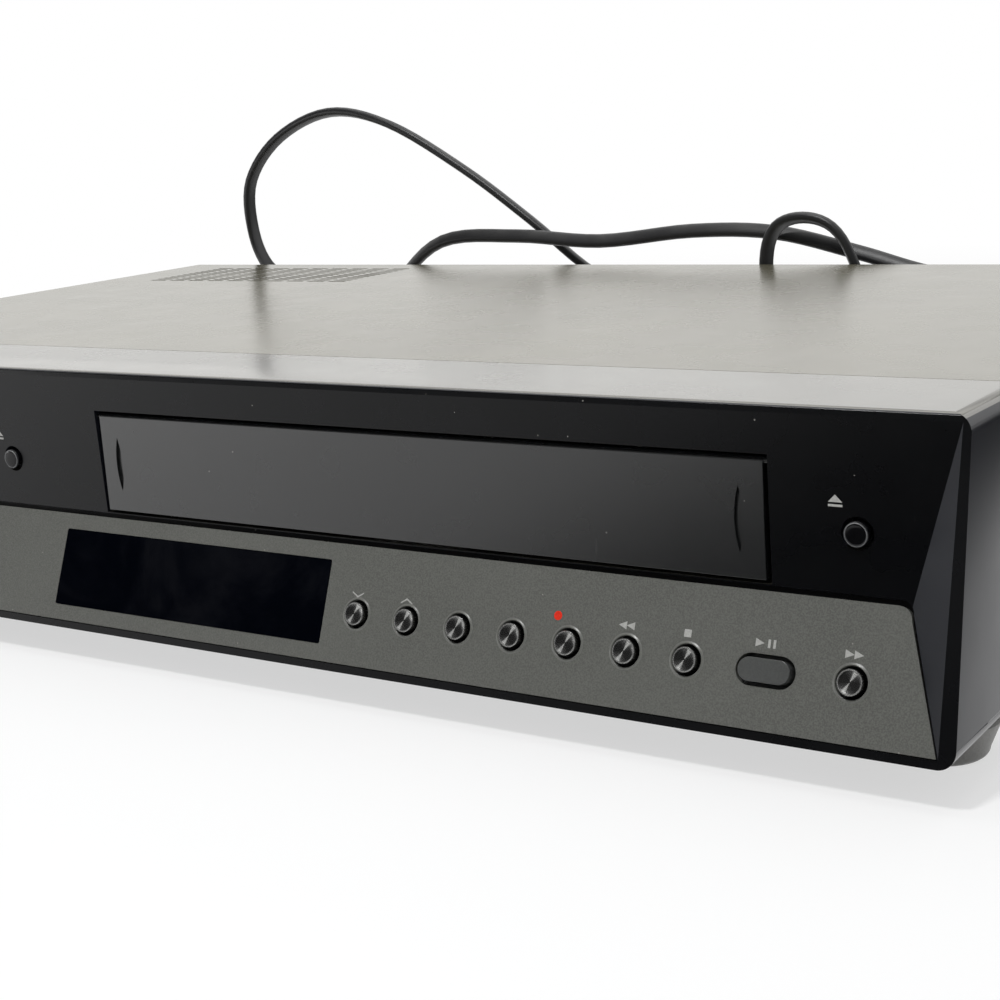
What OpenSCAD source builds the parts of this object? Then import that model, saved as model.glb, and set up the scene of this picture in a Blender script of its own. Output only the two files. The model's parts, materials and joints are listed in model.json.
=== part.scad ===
// Disc and cassette combination recorder, 430 mm wide.
// X runs across the front, Y from the front to the rear, Z up from the table.

/* [Housing] */
// Width across the front
body_w = 430; // [428:1:440]
// Height of the housing without its feet
body_h = 69; // [68.5:0.5:74]
// Depth from the front's top edge to the rear panel's outer face
body_d = 243; // [242:1:256]
// Height of the feet
foot_h = 9; // [7:0.5:14]
// Radius of the front's four corners
corner_r = 4; // [3:0.5:6]
// Thickness of the steel cover
cover_t = 0.8; // [0.6:0.1:1.2]
// Thickness of the steel base and rear panel
base_t = 1; // [0.8:0.1:1.4]
// Gap between the sheet-metal parts
sheet_gap = 0.4; // [0.3:0.05:0.6]

/* [Front] */
// Depth of the moulded front at the top
bezel_d = 34.6; // [33:0.2:36]
// Wall of the moulded front
bezel_wall = 2.4; // [2:0.1:3]
// How far the front's bottom edge stands ahead of its top edge
bottom_lead = 10.5; // [9:0.5:12]
// Radius of the front's top edge
edge_r = 1; // [0.5:0.25:1.5]
// Height of the valley line above the housing's bottom
ridge_z = 29; // [28:0.5:30]
// How far the valley line lies behind the top edge
ridge_back = 0.9; // [0.5:0.1:1.5]
// How far each end of the valley line lies in from the side
ridge_in = 12.6; // [12:0.2:16]
// Width of the rim beside the end facets
rim_side = 1.5; // [1.25:0.25:3]
// Height of the rim along the bottom and the top
rim_h = 2; // [1.5:0.25:2.5]
// Thickness of the sloped lower trim panel
trim_t = 1.6; // [1.2:0.1:2]
// Height of the shadow gap above the trim panel
trim_gap = 1.2; // [0.8:0.1:1.6]
// Radius of the trim panel's upper corners
trim_r = 3; // [2:0.5:4]

/* [Display] */
// Width of the display window
window_w = 92.8; // [88:0.4:96]
// Height of the display window along the slope
window_h = 20.5; // [19:0.5:21.5]
// Distance from the display window's middle to the first button
window_gap = 56.6; // [55:0.4:60]

/* [Buttons] */
// Diameter of the round button caps on the trim panel
cap_d = 5.6; // [5:0.1:6.4]
// Diameter of the button holes
button_hole_d = 7.4; // [7:0.1:8]
// Width of the play button's cap
play_w = 11.8; // [11:0.2:13]
// Travel of every button
button_travel = 0.8; // [0.5:0.1:1]
// How far the caps stand proud
cap_proud = 1.1; // [0.3:0.1:1.6]
// Sideways spacing of the transport buttons
button_pitch = 14.9; // [14.6:0.1:15.2]
// Distance from the first button of the row to the housing's right side
row_in = 150; // [148:0.5:151]
// Distance from the power button to the housing's left side
power_in = 25; // [23:1:28]
// Distance from the eject button to the housing's right side
eject_in = 23.8; // [23:0.1:26]
// Distance from the tray front's edge to the tray button
tray_button_gap = 7.8; // [7.8:0.1:9]
// Distance from the tray front to the housing's left side
tray_front_in = 13; // [12:0.5:15]
// Distance from the cassette door's opening to the housing's right side
door_in = 43.05; // [42:0.05:45]
// Distance from the tray front to the cassette door's opening
fronts_gap = 42.45; // [40:0.05:45]
// Height of the eject and tray buttons above the housing's bottom
upper_button_z = 43.2; // [42:0.2:45]

/* [Cassette deck] */
// Width of the cassette door's opening
door_open_w = 195.5; // [194.5:0.5:197]
// Height of the cassette door's opening
door_open_h = 27.9; // [27.8:0.1:29]
// Bottom of the cassette door's opening above the housing's bottom
door_z = 30.5; // [30.2:0.1:31]
// Gap round the cassette door
door_gap = 0.8; // [0.6:0.1:1]
// Thickness of the cassette door
door_t = 2.5; // [2:0.1:2.6]
// Diameter of the door's pivot pins
door_pin_d = 1.4; // [1.2:0.1:1.4]
// Inside width of the cassette basket
basket_w = 188.4; // [188:0.1:189]
// How far the basket carries the cassette in
basket_in = 45; // [40:1:46]
// How far the basket lowers the cassette
basket_down = 10; // [8:0.5:10]
// Diameter of the head drum
drum_d = 62; // [58:1:62]
// Lean of the head drum
drum_tilt = 5.7; // [5:0.1:6]

/* [Disc drive] */
// Width of the tray's front
tray_front_w = 136; // [134:1:138]
// Height of the tray's front
tray_front_h = 15.6; // [15:0.1:16.4]
// Height of the tray front's middle above the housing's bottom
tray_front_z = 46; // [45.5:0.5:46.5]
// Width of the disc tray
tray_w = 128; // [126:0.5:129]
// Travel of the disc tray
tray_travel = 132; // [125:1:134]
// Diameter of the disc's seat in the tray
disc_seat_d = 120.4; // [120.2:0.1:121]
// Teeth of the tray's pinion
pinion_teeth = 16; // [14:1:18]

/* [Connectors] */
// Diameter of a phono jack's sleeve
phono_d = 8.3; // [8.2:0.1:8.4]
// Diameter of the plug shell that the front jacks take
plug_d = 12; // [10:0.5:12.5]
// How far a rear phono jack stands out
phono_reach = 8.5; // [7.5:0.5:9.5]
// Diameter of an antenna connector's barrel
antenna_d = 9.4; // [9.2:0.1:9.6]
// How far an antenna connector stands out
antenna_reach = 10; // [9.5:0.5:11]

/* [Mains lead] */
// Diameter of the mains lead
cord_d = 5.4; // [5:0.2:6]
// Length of the strain relief outside the rear panel
relief_l = 30; // [26:1:36]

/* [Hidden] */
$fn = 48;

eps = 0.01;
seat = 0.3;          // gap between a loose piece and its seat
fit = 0.05;          // radial clearance of a shaft in its bore
half_w = body_w / 2;
total_d = bottom_lead + body_d + antenna_reach;
front_y = bottom_lead - total_d / 2;

// The front's slopes. Heights are above the housing's bottom, depths behind its top edge.
function front_at(z) = -bottom_lead * (body_h - z) / body_h;
trim_rise = ridge_z - rim_h;
trim_run = ridge_back - front_at(rim_h);
trim_tilt = atan2(trim_run, trim_rise);
trim_l = norm([trim_rise, trim_run]);
ridge_half = half_w - ridge_in;
foot_half = half_w - rim_side - 2.1;
wall_behind_trim = trim_t + 2;      // square to the slope
wall_y = wall_behind_trim / cos(trim_tilt);
button_s = -16.6;                   // the button row's place down the slope

// Sideways places. What the width has to spare lies at both sides of the cassette door.
loader_half = tray_w / 2 + 6;
drive_x = -half_w + max(tray_front_in + tray_front_w / 2, loader_half + 11);
spare_w = body_w - tray_front_in - tray_front_w - fronts_gap - door_open_w - door_in;
spare_right = 0.38 * spare_w;
deck_x = half_w - door_in - spare_right - door_open_w / 2;
eject_x = half_w - eject_in - spare_right / 4;
tray_button_x = drive_x + max(tray_front_w / 2 + tray_button_gap, loader_half + 5.8);
power_x = -half_w + power_in;
button_x = half_w - row_in;
window_x = button_x - window_gap;

// Places shared by the fronts, their openings and what moves through them
door_w = door_open_w - 3 * door_gap;
door_h = door_open_h - 2 * door_gap;
door_top = door_z + door_open_h - door_gap;
door_face = 0.6;
door_axis = [door_face + 1, door_top - 0.8];
window_s = -14.6;
board_n = -10;                      // face of the front board, square to the slope
upper_board_y = 9.8;
phono_front_x = [power_x + 30, power_x + 47, power_x + 64];
front_foot = [half_w - 14.5, 21];
rear_foot = [half_w - 20, body_d - 22];
foot_r = 13;

row_x = [for (i = [0:6]) button_x + i * button_pitch];
play_x = row_x[6] + 18.4;
forward_x = play_x + 19;

// Heights and places of the disc drive
tray_y = door_face + 2.8;
tray_l = 172;
tray_z = 42;
tray_t = 5;
disc_depth = 2.2;
disc_y = tray_y + 72.6;
loader_z = 30;
loader_floor = 2.5;
loader_y = [6.5, 180];
groove_gap = 0.5;
plate_z = tray_z - 4;               // the traverse's heights are those of its raised, level place
plate_t = 1.5;
well_r = 18.6;                      // the tray's hole over the turntable
traverse_tilt = 4.7;                // how far it hangs down while the tray moves
hinge_y = 160;
hinge_r = 1.5;
hinge_z = plate_z - 1.4;
rod_x = 20;
rod_r = 1.5;
rod_z = plate_z + 1.1;
pickup_y = [93, 121];
rod_y = [88, 156];
disc_z = tray_z + tray_t - disc_depth + 1.8;   // underside of a clamped disc
turntable_t = 1.6;
bridge_z = tray_z + tray_t + 5.5;
clamper_r = 13.4;
clamper_z = tray_z + tray_t + 0.6;
tooth_m = 1;                        // tooth module of rack and pinion
pinion_r = pinion_teeth * tooth_m / 2;
rack_x = drive_x - tray_w / 2 + 4.7;   // pitch line of the rack
pinion_y = 15;
pinion_z = [loader_z + loader_floor + seat, tray_z - 0.6];

// Heights and places of the cassette deck
deck_z = 12;
deck_t = 1.2;
deck_top = deck_z + deck_t;
deck_half = 102;
deck_y = [44, body_d - 21];
basket_y = [31, 106];
basket_z = 29.6;
basket_t = 1;
basket_wall = 2;
basket_half = basket_w / 2 + basket_wall;
basket_h = 27.6;
slide_t = 1.1;
carriage_y = [36, 165];
carriage_h = 62;
carriage_half = basket_half + slide_t + 2 * sheet_gap;
slot_z = 47;
reel_y = 108;
reel_x = 45;
drum_at = [deck_x - 8, body_d - 53, 17];
drum_r = drum_d / 2;
drum_split = 13;
capstan_at = [deck_x + 62, drum_at[1] - 18];
pinch_pivot = [deck_x + 81.8, drum_at[1] - 32];
pinch_l = 18.1;
pinch_rest = 104.4;
pinch_r = 6.5;
post_rest_y = drum_at[1] - 33;
post_supply_x = deck_x - 42.2;
post_takeup_x = deck_x + 25.8;
post_run = [8, 33];
function post_way(s) = [s * post_run[0], post_run[1]];

// Boards: left, front, right and rear edges
main_edge = [-half_w + 9, 52, deck_x - deck_half - 12.2, body_d - 73];
power_edge = [-half_w + 7, body_d - 55, main_edge[2] - 32, body_d - 5];

// Rear connectors
jack_x = [-50, -36, -22, -8, 6];
jack_z = [24, 42];
hdmi_x = 28;
antenna_x = half_w - 72;
antenna_z = [28, 48];
relief_x = -half_w + 45;
relief_z = 20;
hole_gap = 0.6;

// Mains lead: points chosen by hand along its centre, from below the middle of the rear panel.
// The lead moves with the relief and the rear panel.
cord_from = [relief_x + 170, body_d - 243, 0];
cord_route = [
  [-170, 273, 20], [-170.4, 284, 20.6], [-175, 295, 27], [-186, 298, 40], [-193.5, 285, 54],
  [-191.5, 264.5, 66.5], [-186.5, 251.5, 84], [-182.5, 249, 104], [-166, 250, 121], [-138, 250, 130],
  [-109, 251, 124], [-76, 254, 105], [-48, 256, 85], [-22, 259.5, 64], [2, 263.5, 55],
  [22, 268, 38], [40, 274.5, 14], [68, 280.5, -2], [110, 285, -5.3], [153, 281, 1], [174, 270, 20],
  [166, 261, 45], [145, 256.5, 61], [114, 255, 64.5], [87, 254.3, 72], [56, 254, 79.2], [24, 252.5, 80.2],
  [-14, 250.7, 77], [-50, 249.5, 79.3], [-86, 249.5, 77.5], [-114, 254, 59], [-143, 262, 35],
  [-154, 271, 10], [-130, 277, -4.5], [-42, 268, -5.2], [34, 259, -4], [55, 254.5, 20],
  [55, 248, 62], [58.5, 247.4, 80], [70, 247.4, 84.8], [82.5, 247.6, 79.5], [91, 249, 60],
  [97, 255, 27], [114, 262, 0], [146, 264, -3]
];
cord_points = [for (p = cord_route) p + cord_from];
plug_at = cord_points[len(cord_points) - 1];

// ---------------------------------------------------------------- shared shapes

module in_place() translate([0, front_y, foot_h]) children();

// A (y, z) outline run along X, centred
module along_x(w) translate([-w / 2, 0, 0]) rotate([90, 0, 90]) linear_extrude(w) children();

// An (x, z) outline run along Y from y0 to y1
module along_y(y0, y1) translate([0, y1, 0]) rotate([90, 0, 0]) linear_extrude(y1 - y0) children();

module box(low, high) translate(low) cube(high - low);

module rounded(w, h, r) {
  square([w - 2 * r, h], center = true);
  square([w, h - 2 * r], center = true);
  for (sx = [-1, 1], sy = [-1, 1]) translate([sx * (w / 2 - r), sy * (h / 2 - r)]) circle(r);
}

module stadium(w, h) {
  square([w - h, h], center = true);
  for (s = [-1, 1]) translate([s * (w - h) / 2, 0]) circle(h / 2);
}

// A slot with round ends from point p to point q
module slot_2d(p, q, r) {
  d = q - p;
  translate((p + q) / 2) rotate(atan2(d[1], d[0])) stadium(norm(d) + 2 * r, 2 * r);
}

module tube(r, bore, h) difference() {
  cylinder(h = h, r = r);
  translate([0, 0, -1]) cylinder(h = h + 2, r = bore);
}

// Children drawn on the lower slope: x across, y up the slope, z out of it
module on_slope(x = 0, s = 0)
  translate([0, ridge_back, ridge_z]) rotate([90 - trim_tilt, 0, 0]) translate([x, s, 0]) children();

// Children drawn facing the front: z comes towards the viewer
module facing_front(x, y, z) translate([x, y, z]) rotate([90, 0, 0]) children();

// Children drawn facing the rear: z goes away from the viewer
module facing_rear(x, y, z) translate([x, y, z]) rotate([-90, 0, 0]) children();

module screw(head_r, head_h, shaft_r, shaft_l) {
  difference() {
    cylinder(h = head_h, r1 = head_r, r2 = head_r * 0.8);
    for (a = [0, 90]) rotate(a) translate([-head_r * 0.6, -0.4, head_h * 0.5])
      cube([head_r * 1.2, 0.8, head_h]);
  }
  translate([0, 0, -shaft_l]) cylinder(h = shaft_l + eps, r = shaft_r);
}

// ---------------------------------------------------------------- front

function edge_arc() = [for (a = [90:15:165]) [edge_r + edge_r * cos(a), body_h - edge_r + edge_r * sin(a)]];

// The hollow between the rim, the upper panel, the lower slope and the two end facets
module valley() {
  over = 0.05;
  top = [half_w - rim_side, front_at(body_h - edge_r), body_h - edge_r];
  mid = [ridge_half, ridge_back, ridge_z];
  low = [foot_half, front_at(rim_h), rim_h];
  top_out = top + over * (top - mid);
  low_out = low + over * (low - mid);
  pts = [for (p = [top_out, mid, low_out]) each [[-p[0], p[1], p[2]], p]];
  polyhedron(pts, [[0, 1, 5, 4], [1, 0, 2, 3], [4, 5, 3, 2], [0, 4, 2], [1, 3, 5]]);
}

module trim_outline(grow = 0, top_grow = 0) {
  top_half = ridge_half + grow;
  low_half = ridge_half + (foot_half - ridge_half) * (trim_l - grow) / trim_l - 0.4 + grow;
  r = trim_r;
  arc_mid = [top_half - r * 0.9, top_grow - r];
  arc = [for (a = [90:-15:-10]) arc_mid + r * [cos(a), sin(a)]];
  right = concat(arc, [[low_half, -trim_l + 0.1 - grow]]);
  polygon(concat(right, [for (i = [len(right) - 1:-1:0]) [-right[i][0], right[i][1]]]));
}

module bezel_blank() intersection() {
  along_y(-bottom_lead - 1, bezel_d) translate([0, body_h / 2]) rounded(body_w, body_h, corner_r);
  along_x(body_w + 2) polygon(concat(
    [[front_at(0), 0], [bezel_d, 0], [bezel_d, body_h]], edge_arc()));
}

module bezel_tongue() intersection() {
  step = cover_t + sheet_gap;
  along_y(bezel_d - 3, bezel_d + 5) difference() {
    translate([0, body_h / 2]) rounded(body_w - 2 * step, body_h - 2 * step, corner_r - step);
    translate([0, body_h / 2]) square([body_w - 2 * step - 4, body_h - 2 * step - 4], center = true);
  }
  box([-half_w, 0, 10], [half_w, body_d, body_h]);
}

module bezel_cavity() {
  inner_half = ridge_half - 3;
  along_x(2 * inner_half) polygon([
    [ridge_back + wall_y, ridge_z + 3], [bezel_wall + 0.3, body_h - bezel_wall],
    [bezel_d + 1, body_h - bezel_wall], [bezel_d + 1, bezel_wall],
    [front_at(rim_h) + wall_y, bezel_wall], [ridge_back + wall_y, ridge_z]
  ]);
  box([-half_w + bezel_wall, ridge_back + wall_y + 1.5, bezel_wall],
      [half_w - bezel_wall, bezel_d + 1, body_h - bezel_wall]);
}

module slope_holes(extra = 0) {
  for (x = concat([power_x, forward_x], row_x))
    on_slope(x, button_s) translate([0, 0, -20]) cylinder(h = 30, d = button_hole_d + extra);
  on_slope(play_x, button_s) translate([0, 0, -20]) linear_extrude(30)
    stadium(play_w + 1.8 + extra, button_hole_d - 0.5 + extra);
  for (x = phono_front_x)
    on_slope(x, button_s) translate([0, 0, -20]) cylinder(h = 30, d = plug_d + 2 * hole_gap);
}

module upper_openings() {
  box([deck_x - door_open_w / 2, -bottom_lead, door_z],
      [deck_x + door_open_w / 2, bezel_d / 2, door_z + door_open_h]);
  box([drive_x - tray_front_w / 2 - 0.6, -bottom_lead, tray_front_z - tray_front_h / 2 - 0.5],
      [drive_x + tray_front_w / 2 + 0.6, bezel_d / 2, tray_front_z + tray_front_h / 2 + 0.5]);
  for (x = [eject_x, tray_button_x])
    facing_front(x, 20, upper_button_z) cylinder(h = 30, d = button_hole_d - 0.3);
}

module door_pin_bores(r) for (s = [-1, 1])
  translate([deck_x + s * (door_open_w / 2 + 1.5), door_axis[0], door_axis[1]])
    rotate([0, 90, 0]) cylinder(h = 4.6, r = r, center = true);

module board_posts() {
  for (x = [power_x + 14, window_x - 86.4, button_x - 3.5, button_x + 67.3, forward_x - 9.3])
    on_slope(x, -3.5) translate([0, 0, board_n]) cylinder(h = -board_n - 2.6, r = 2);
  for (x = [eject_x - 7, tray_button_x + 4.6], z = [-6.5, 6.5])
    facing_front(x, upper_board_y, upper_button_z + z) cylinder(h = upper_board_y - 2.5, r = 1.6);
}

module front_bezel() color("#26282a") in_place() {
  difference() {
    union() {
      difference() {
        union() {
          bezel_blank();
          bezel_tongue();
        }
        bezel_cavity();
      }
      board_posts();
    }
    valley();
    on_slope() translate([0, 0, -trim_t]) linear_extrude(trim_t + 3) trim_outline(0.25, trim_gap);
    slope_holes();
    on_slope(window_x, window_s) translate([0, 0, -8]) linear_extrude(10)
      square([window_w - 7, window_h - 4.5], center = true);
    upper_openings();
    door_pin_bores(door_pin_d / 2 + fit);
    for (s = [-1, 1]) translate([s * front_foot[0], front_foot[1], -1]) cylinder(h = 6, r = 1.5 + fit);
  }
}

module lower_trim_panel() color("#5c5d58") in_place() difference() {
  on_slope() translate([0, 0, -trim_t]) linear_extrude(trim_t) trim_outline();
  slope_holes();
  on_slope(window_x, window_s) translate([0, 0, -trim_t - 1]) linear_extrude(trim_t + 2)
    rounded(window_w + 0.3, window_h + 0.3, 0.6);
  for (x = concat([power_x, forward_x], row_x)) on_slope(x, button_s) translate([0, 0, -0.4])
    cylinder(h = 0.4 + eps, d1 = button_hole_d, d2 = button_hole_d + 0.8);
}

module display_window() color("#0a0c16") in_place()
  on_slope(window_x, window_s) translate([0, 0, -trim_t]) linear_extrude(trim_t)
    rounded(window_w, window_h, 0.45);

module display_module() color("#1c1d20") in_place() on_slope(window_x, window_s) {
  holder = [window_w - 5, window_h - 3];
  translate([0, 0, board_n]) linear_extrude(-board_n - wall_behind_trim - seat) difference() {
    square(holder, center = true);
    square(holder - [5, 5], center = true);
  }
  translate([0, 0, board_n]) linear_extrude(3.4) square(holder - [4.4, 4.4], center = true);
}

// ---------------------------------------------------------------- cassette door

// An outline h tall between two equal arcs
module grip_lens(h, bulge = 1.1) {
  arc_r = (h * h / 4 + bulge * bulge) / (2 * bulge);
  side = [for (k = [-6:6]) [sqrt(arc_r * arc_r - pow(k * h / 12, 2)) - arc_r + bulge, k * h / 12]];
  polygon(concat(side, [for (k = [11:-1:1]) [-side[k][0], side[k][1]]]));
}

module cassette_door() color("#35373a") in_place() {
  difference() {
    translate([deck_x, 0, 0]) along_x(door_w) polygon(concat(
      [[door_face, door_top - door_h], [door_face + door_t, door_top - door_h],
       [door_face + door_t, door_top - 1.2]],
      [for (a = [60:30:180]) [door_axis[0] + 0.2, door_axis[1]] + [1.2 * cos(a), 0.8 * sin(a)]]));
    for (x = [-90.8, 90.7]) facing_front(deck_x + x, door_face + 0.8, upper_button_z + 0.9)
      linear_extrude(2) grip_lens(14.6);
    translate([deck_x, 0, 0]) box([-door_w / 2 + 3, door_face + 1.8, door_top - door_h + 3],
                                  [door_w / 2 - 3, door_face + door_t + 1, door_top - 5]);
  }
  for (s = [-1, 1]) translate([deck_x + s * (door_w / 2 + 1.6), door_axis[0], door_axis[1]])
    rotate([0, 90, 0]) cylinder(h = 5.2, d = door_pin_d, center = true);
}

// ---------------------------------------------------------------- sheet metal

module cover_profile(t) {
  outer = half_w - sheet_gap;
  r = 2.2;
  difference() {
    union() {
      translate([0, body_h - t - r]) square([2 * outer, 2 * (r + t)], center = true);
      translate([-outer, 2]) square([2 * outer, body_h - 2 - 2 * r]);
    }
    for (s = [-1, 1]) translate([s * (outer - r), body_h - r])
      intersection() {
        difference() {
          square(4 * r, center = true);
          circle(r);
        }
        translate([s > 0 ? 0 : -3 * r, 0]) square(3 * r);
      }
    translate([-outer, body_h]) square([2 * outer, 4 * r]);
    translate([-outer + t, -1]) square([2 * (outer - t), body_h - t + 1]);
  }
}

vent_x = [-half_w + 27, -half_w + 129];
vent_y = [body_d - 54, body_d - 12];
side_screw_y = [64, body_d - 24];
rear_screw_x = [-half_w + 35, 0, half_w - 35];

module top_cover() color("#3b3b39") in_place() difference() {
  union() {
    along_y(bezel_d + 0.3, body_d + cover_t) cover_profile(cover_t);
    box([-half_w + 2, body_d, body_h - 7], [half_w - 2, body_d + cover_t, body_h - cover_t / 2]);
  }
  for (x = [vent_x[0]:10.2:vent_x[1] - 8], y = [vent_y[0]:3.6:vent_y[1]])
    translate([x, y, body_h - 2]) cube([8, 1.7, 4]);
  for (s = [-1, 1], y = side_screw_y)
    translate([s * half_w, y, 7]) rotate([0, 90, 0]) cylinder(h = 6, r = 1.8, center = true);
  for (x = rear_screw_x) facing_rear(x, body_d - 1, body_h - 4) cylinder(h = 4, r = 1.8);
}

// Places of the chassis's stand-offs
deck_posts = [for (x = [-1, 1], y = [deck_y[0] + 6, deck_y[1] - 6]) [deck_x + x * (deck_half - 8), y]];
loader_posts = [for (x = [4 - loader_half, loader_half - 4], y = [loader_y[0] + 38, loader_y[1] - 5])
  [drive_x + x, y]];
main_posts = [for (x = [main_edge[0] + 12, main_edge[2] - 6], y = [main_edge[1] + 6, main_edge[3] - 6])
  [x, y]];
power_posts = [for (x = [power_edge[0] + 6, power_edge[2] - 6], y = [power_edge[1] + 6, body_d - 11]) [x, y]];
jack_posts = [for (x = [-54, 34], y = [body_d - 15, body_d - 6]) [x, y]];

module base_chassis() color("#9b9d9c") in_place() {
  flange_x = half_w - sheet_gap - cover_t - sheet_gap;
  difference() {
    union() {
      box([-flange_x, bezel_d + 0.4, 0], [flange_x, body_d - base_t - 0.1, base_t]);
      for (s = [-1, 1]) scale([s, 1, 1]) difference() {
        box([flange_x - base_t, bezel_d + 7, 0], [flange_x, body_d - base_t - 0.1, 14]);
        for (y = side_screw_y) translate([flange_x, y, 7]) rotate([0, 90, 0])
          cylinder(h = 6, r = 1.5 + fit, center = true);
      }
      for (p = concat(main_posts, power_posts)) translate(p) cylinder(h = 6, r = 3.5);
      for (p = jack_posts) translate(p) cylinder(h = 7.4, r = 2.5);
      for (p = deck_posts) translate(p) cylinder(h = deck_z, r = 4.5);
      for (p = loader_posts) translate(p) cylinder(h = loader_z, r = 3.4);
      for (x = [-150, -60, 60, 150]) box([x - 3, 60, base_t - eps], [x + 3, 120, base_t + 1.4]);
    }
    for (x = [-120:12:-12], y = [130, 152]) translate([x, y, -1]) linear_extrude(4) stadium(9, 2.4);
    for (p = deck_posts) translate([p[0], p[1], 3]) cylinder(h = deck_z, r = 1.5 + fit);
    for (s = [-1, 1]) translate([s * rear_foot[0], rear_foot[1], -1]) cylinder(h = 6, r = 1.5 + fit);
  }
}

module rear_panel() color("#2c2d2e") in_place() difference() {
  union() {
    box([-half_w + 2, body_d - base_t, 0], [half_w - 2, body_d, body_h - 1.4]);
    box([-half_w + 12, body_d - base_t - 6, base_t + 0.05],
        [half_w - 12, body_d - base_t + eps, 2 * base_t + 0.05]);
  }
  for (x = jack_x, z = jack_z) facing_rear(x, body_d - 3, z) cylinder(h = 6, d = phono_d + 2 * hole_gap);
  for (z = antenna_z) facing_rear(antenna_x, body_d - 3, z) cylinder(h = 6, d = antenna_d + 2 * hole_gap);
  facing_rear(relief_x, body_d - 3, relief_z) cylinder(h = 6, r = 6 + fit);
  facing_rear(hdmi_x, body_d - 3, jack_z[0]) linear_extrude(6) square([16.4, 7], center = true);
  for (x = [-140:7:-80]) facing_rear(x, body_d - 3, 44) linear_extrude(6) square([2.6, 28], center = true);
  for (x = rear_screw_x) facing_rear(x, body_d - 3, body_h - 4) cylinder(h = 6, r = 1.5 + fit);
  for (x = [power_edge[0] + 6, power_edge[2] - 6])
    box([x - 5, body_d - 12, 0], [x + 5, body_d - base_t - eps, 4]);
  box([-60, body_d - 12, 0], [40, body_d - base_t - eps, 4]);
  box([antenna_x - 24.4, body_d - 12, 0], [antenna_x + 24.4, body_d - base_t - eps, 4]);
}

module foot() difference() {
  rotate_extrude() polygon(concat(
    [[0, 0], [foot_r - 0.5, 0], [foot_r, -0.6]],
    [for (a = [0:15:90]) [foot_r - 4.5 + 2 * cos(a), -foot_h + 2 - 2 * sin(a)]],
    [[0, -foot_h]]));
  translate([0, 0, -foot_h - 1]) cylinder(h = 5, r = 4);
  translate([0, 0, -foot_h - 1]) cylinder(h = foot_h + 2, r = 1.5 + fit);
}

module feet() color("#3a3a39") in_place() for (s = [-1, 1]) {
  translate([s * front_foot[0], front_foot[1], 0]) foot();
  translate([s * rear_foot[0], rear_foot[1], 0]) foot();
}

module cover_screws() color("#242424") in_place() {
  for (s = [-1, 1], y = side_screw_y)
    translate([s * (half_w - sheet_gap), y, 7]) rotate([0, s * 90, 0]) screw(3.2, sheet_gap, 1.5, 5);
  for (x = rear_screw_x) facing_rear(x, body_d + cover_t, body_h - 4) screw(3, 1.4, 1.5, 5);
}

module chassis_screws() color("#b8b8b4") in_place() {
  for (p = deck_posts) translate([p[0], p[1], deck_top]) screw(3.2, 1.6, 1.5, 7);
  for (s = [-1, 1], p = [front_foot, rear_foot])
    translate([s * p[0], p[1], -foot_h + 4]) rotate([180, 0, 0]) screw(3, 1.4, 1.5, foot_h - 2);
}

// ---------------------------------------------------------------- buttons

// A cap with a turned dish in its face and a retaining flange behind the wall
module button_cap(d, wall) {
  difference() {
    translate([0, 0, -wall - seat - 1.4]) cylinder(h = wall + seat + 1.4 + cap_proud, d = d);
    translate([0, 0, cap_proud - 0.35]) cylinder(h = 0.36, d1 = 0.4, d2 = d - 0.9);
  }
  translate([0, 0, -wall - seat - 1]) cylinder(h = 1, d = d + 3.4);
}

module slope_button(x) color("#4a4b4b") in_place()
  on_slope(x, button_s) button_cap(cap_d, wall_behind_trim);

module upper_button(x) color("#161718") in_place()
  facing_front(x, door_face, upper_button_z) button_cap(cap_d - 0.3, bezel_wall + 1.2);

module power_button() slope_button(power_x);
module tray_button() upper_button(tray_button_x);
module eject_button() upper_button(eject_x);
module select_down_button() slope_button(row_x[0]);
module select_up_button() slope_button(row_x[1]);
module source_button() slope_button(row_x[2]);
module output_button() slope_button(row_x[3]);
module record_button() slope_button(row_x[4]);
module rewind_button() slope_button(row_x[5]);
module stop_button() slope_button(row_x[6]);
module forward_button() slope_button(forward_x);

module play_button() color("#5a5b58") in_place() on_slope(play_x, button_s) {
  back = -wall_behind_trim - seat;
  translate([0, 0, back - 1.4]) linear_extrude(-back + 1.4 + cap_proud) stadium(play_w, cap_d - 0.5);
  translate([0, 0, back - 1]) linear_extrude(1) stadium(play_w + 3.4, cap_d + 2.9);
}

// ---------------------------------------------------------------- disc drive

module tray_front() color("#2a2c2e") in_place() {
  lo = tray_front_z - tray_front_h / 2;
  translate([drive_x, 0, 0]) along_x(tray_front_w) polygon([
    [door_face + 0.4, lo], [tray_y, lo], [tray_y, lo + tray_front_h], [door_face + 0.4, lo + tray_front_h],
    [door_face - 0.1, lo + tray_front_h - 0.6], [door_face - 0.1, lo + 0.6]]);
}

function rack_tooth(y) = [[1.2, y - 1], [-0.9, y - 0.4], [-0.9, y + 0.4], [1.2, y + 1]];

module rack_2d() {
  pitch = PI * tooth_m;
  count = floor((tray_l - 8) / pitch);
  first = pinion_y - pitch * floor((pinion_y - tray_y - 3) / pitch) - pitch / 2;
  body = [for (i = [0:count - 1]) each [for (p = rack_tooth(first + i * pitch)) [-p[0], p[1]]]];
  polygon(concat([[-2.3, first - 2], [-1.2, first - 2]], body,
    [[-1.2, first + count * pitch], [-2.3, first + count * pitch]]));
}

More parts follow.
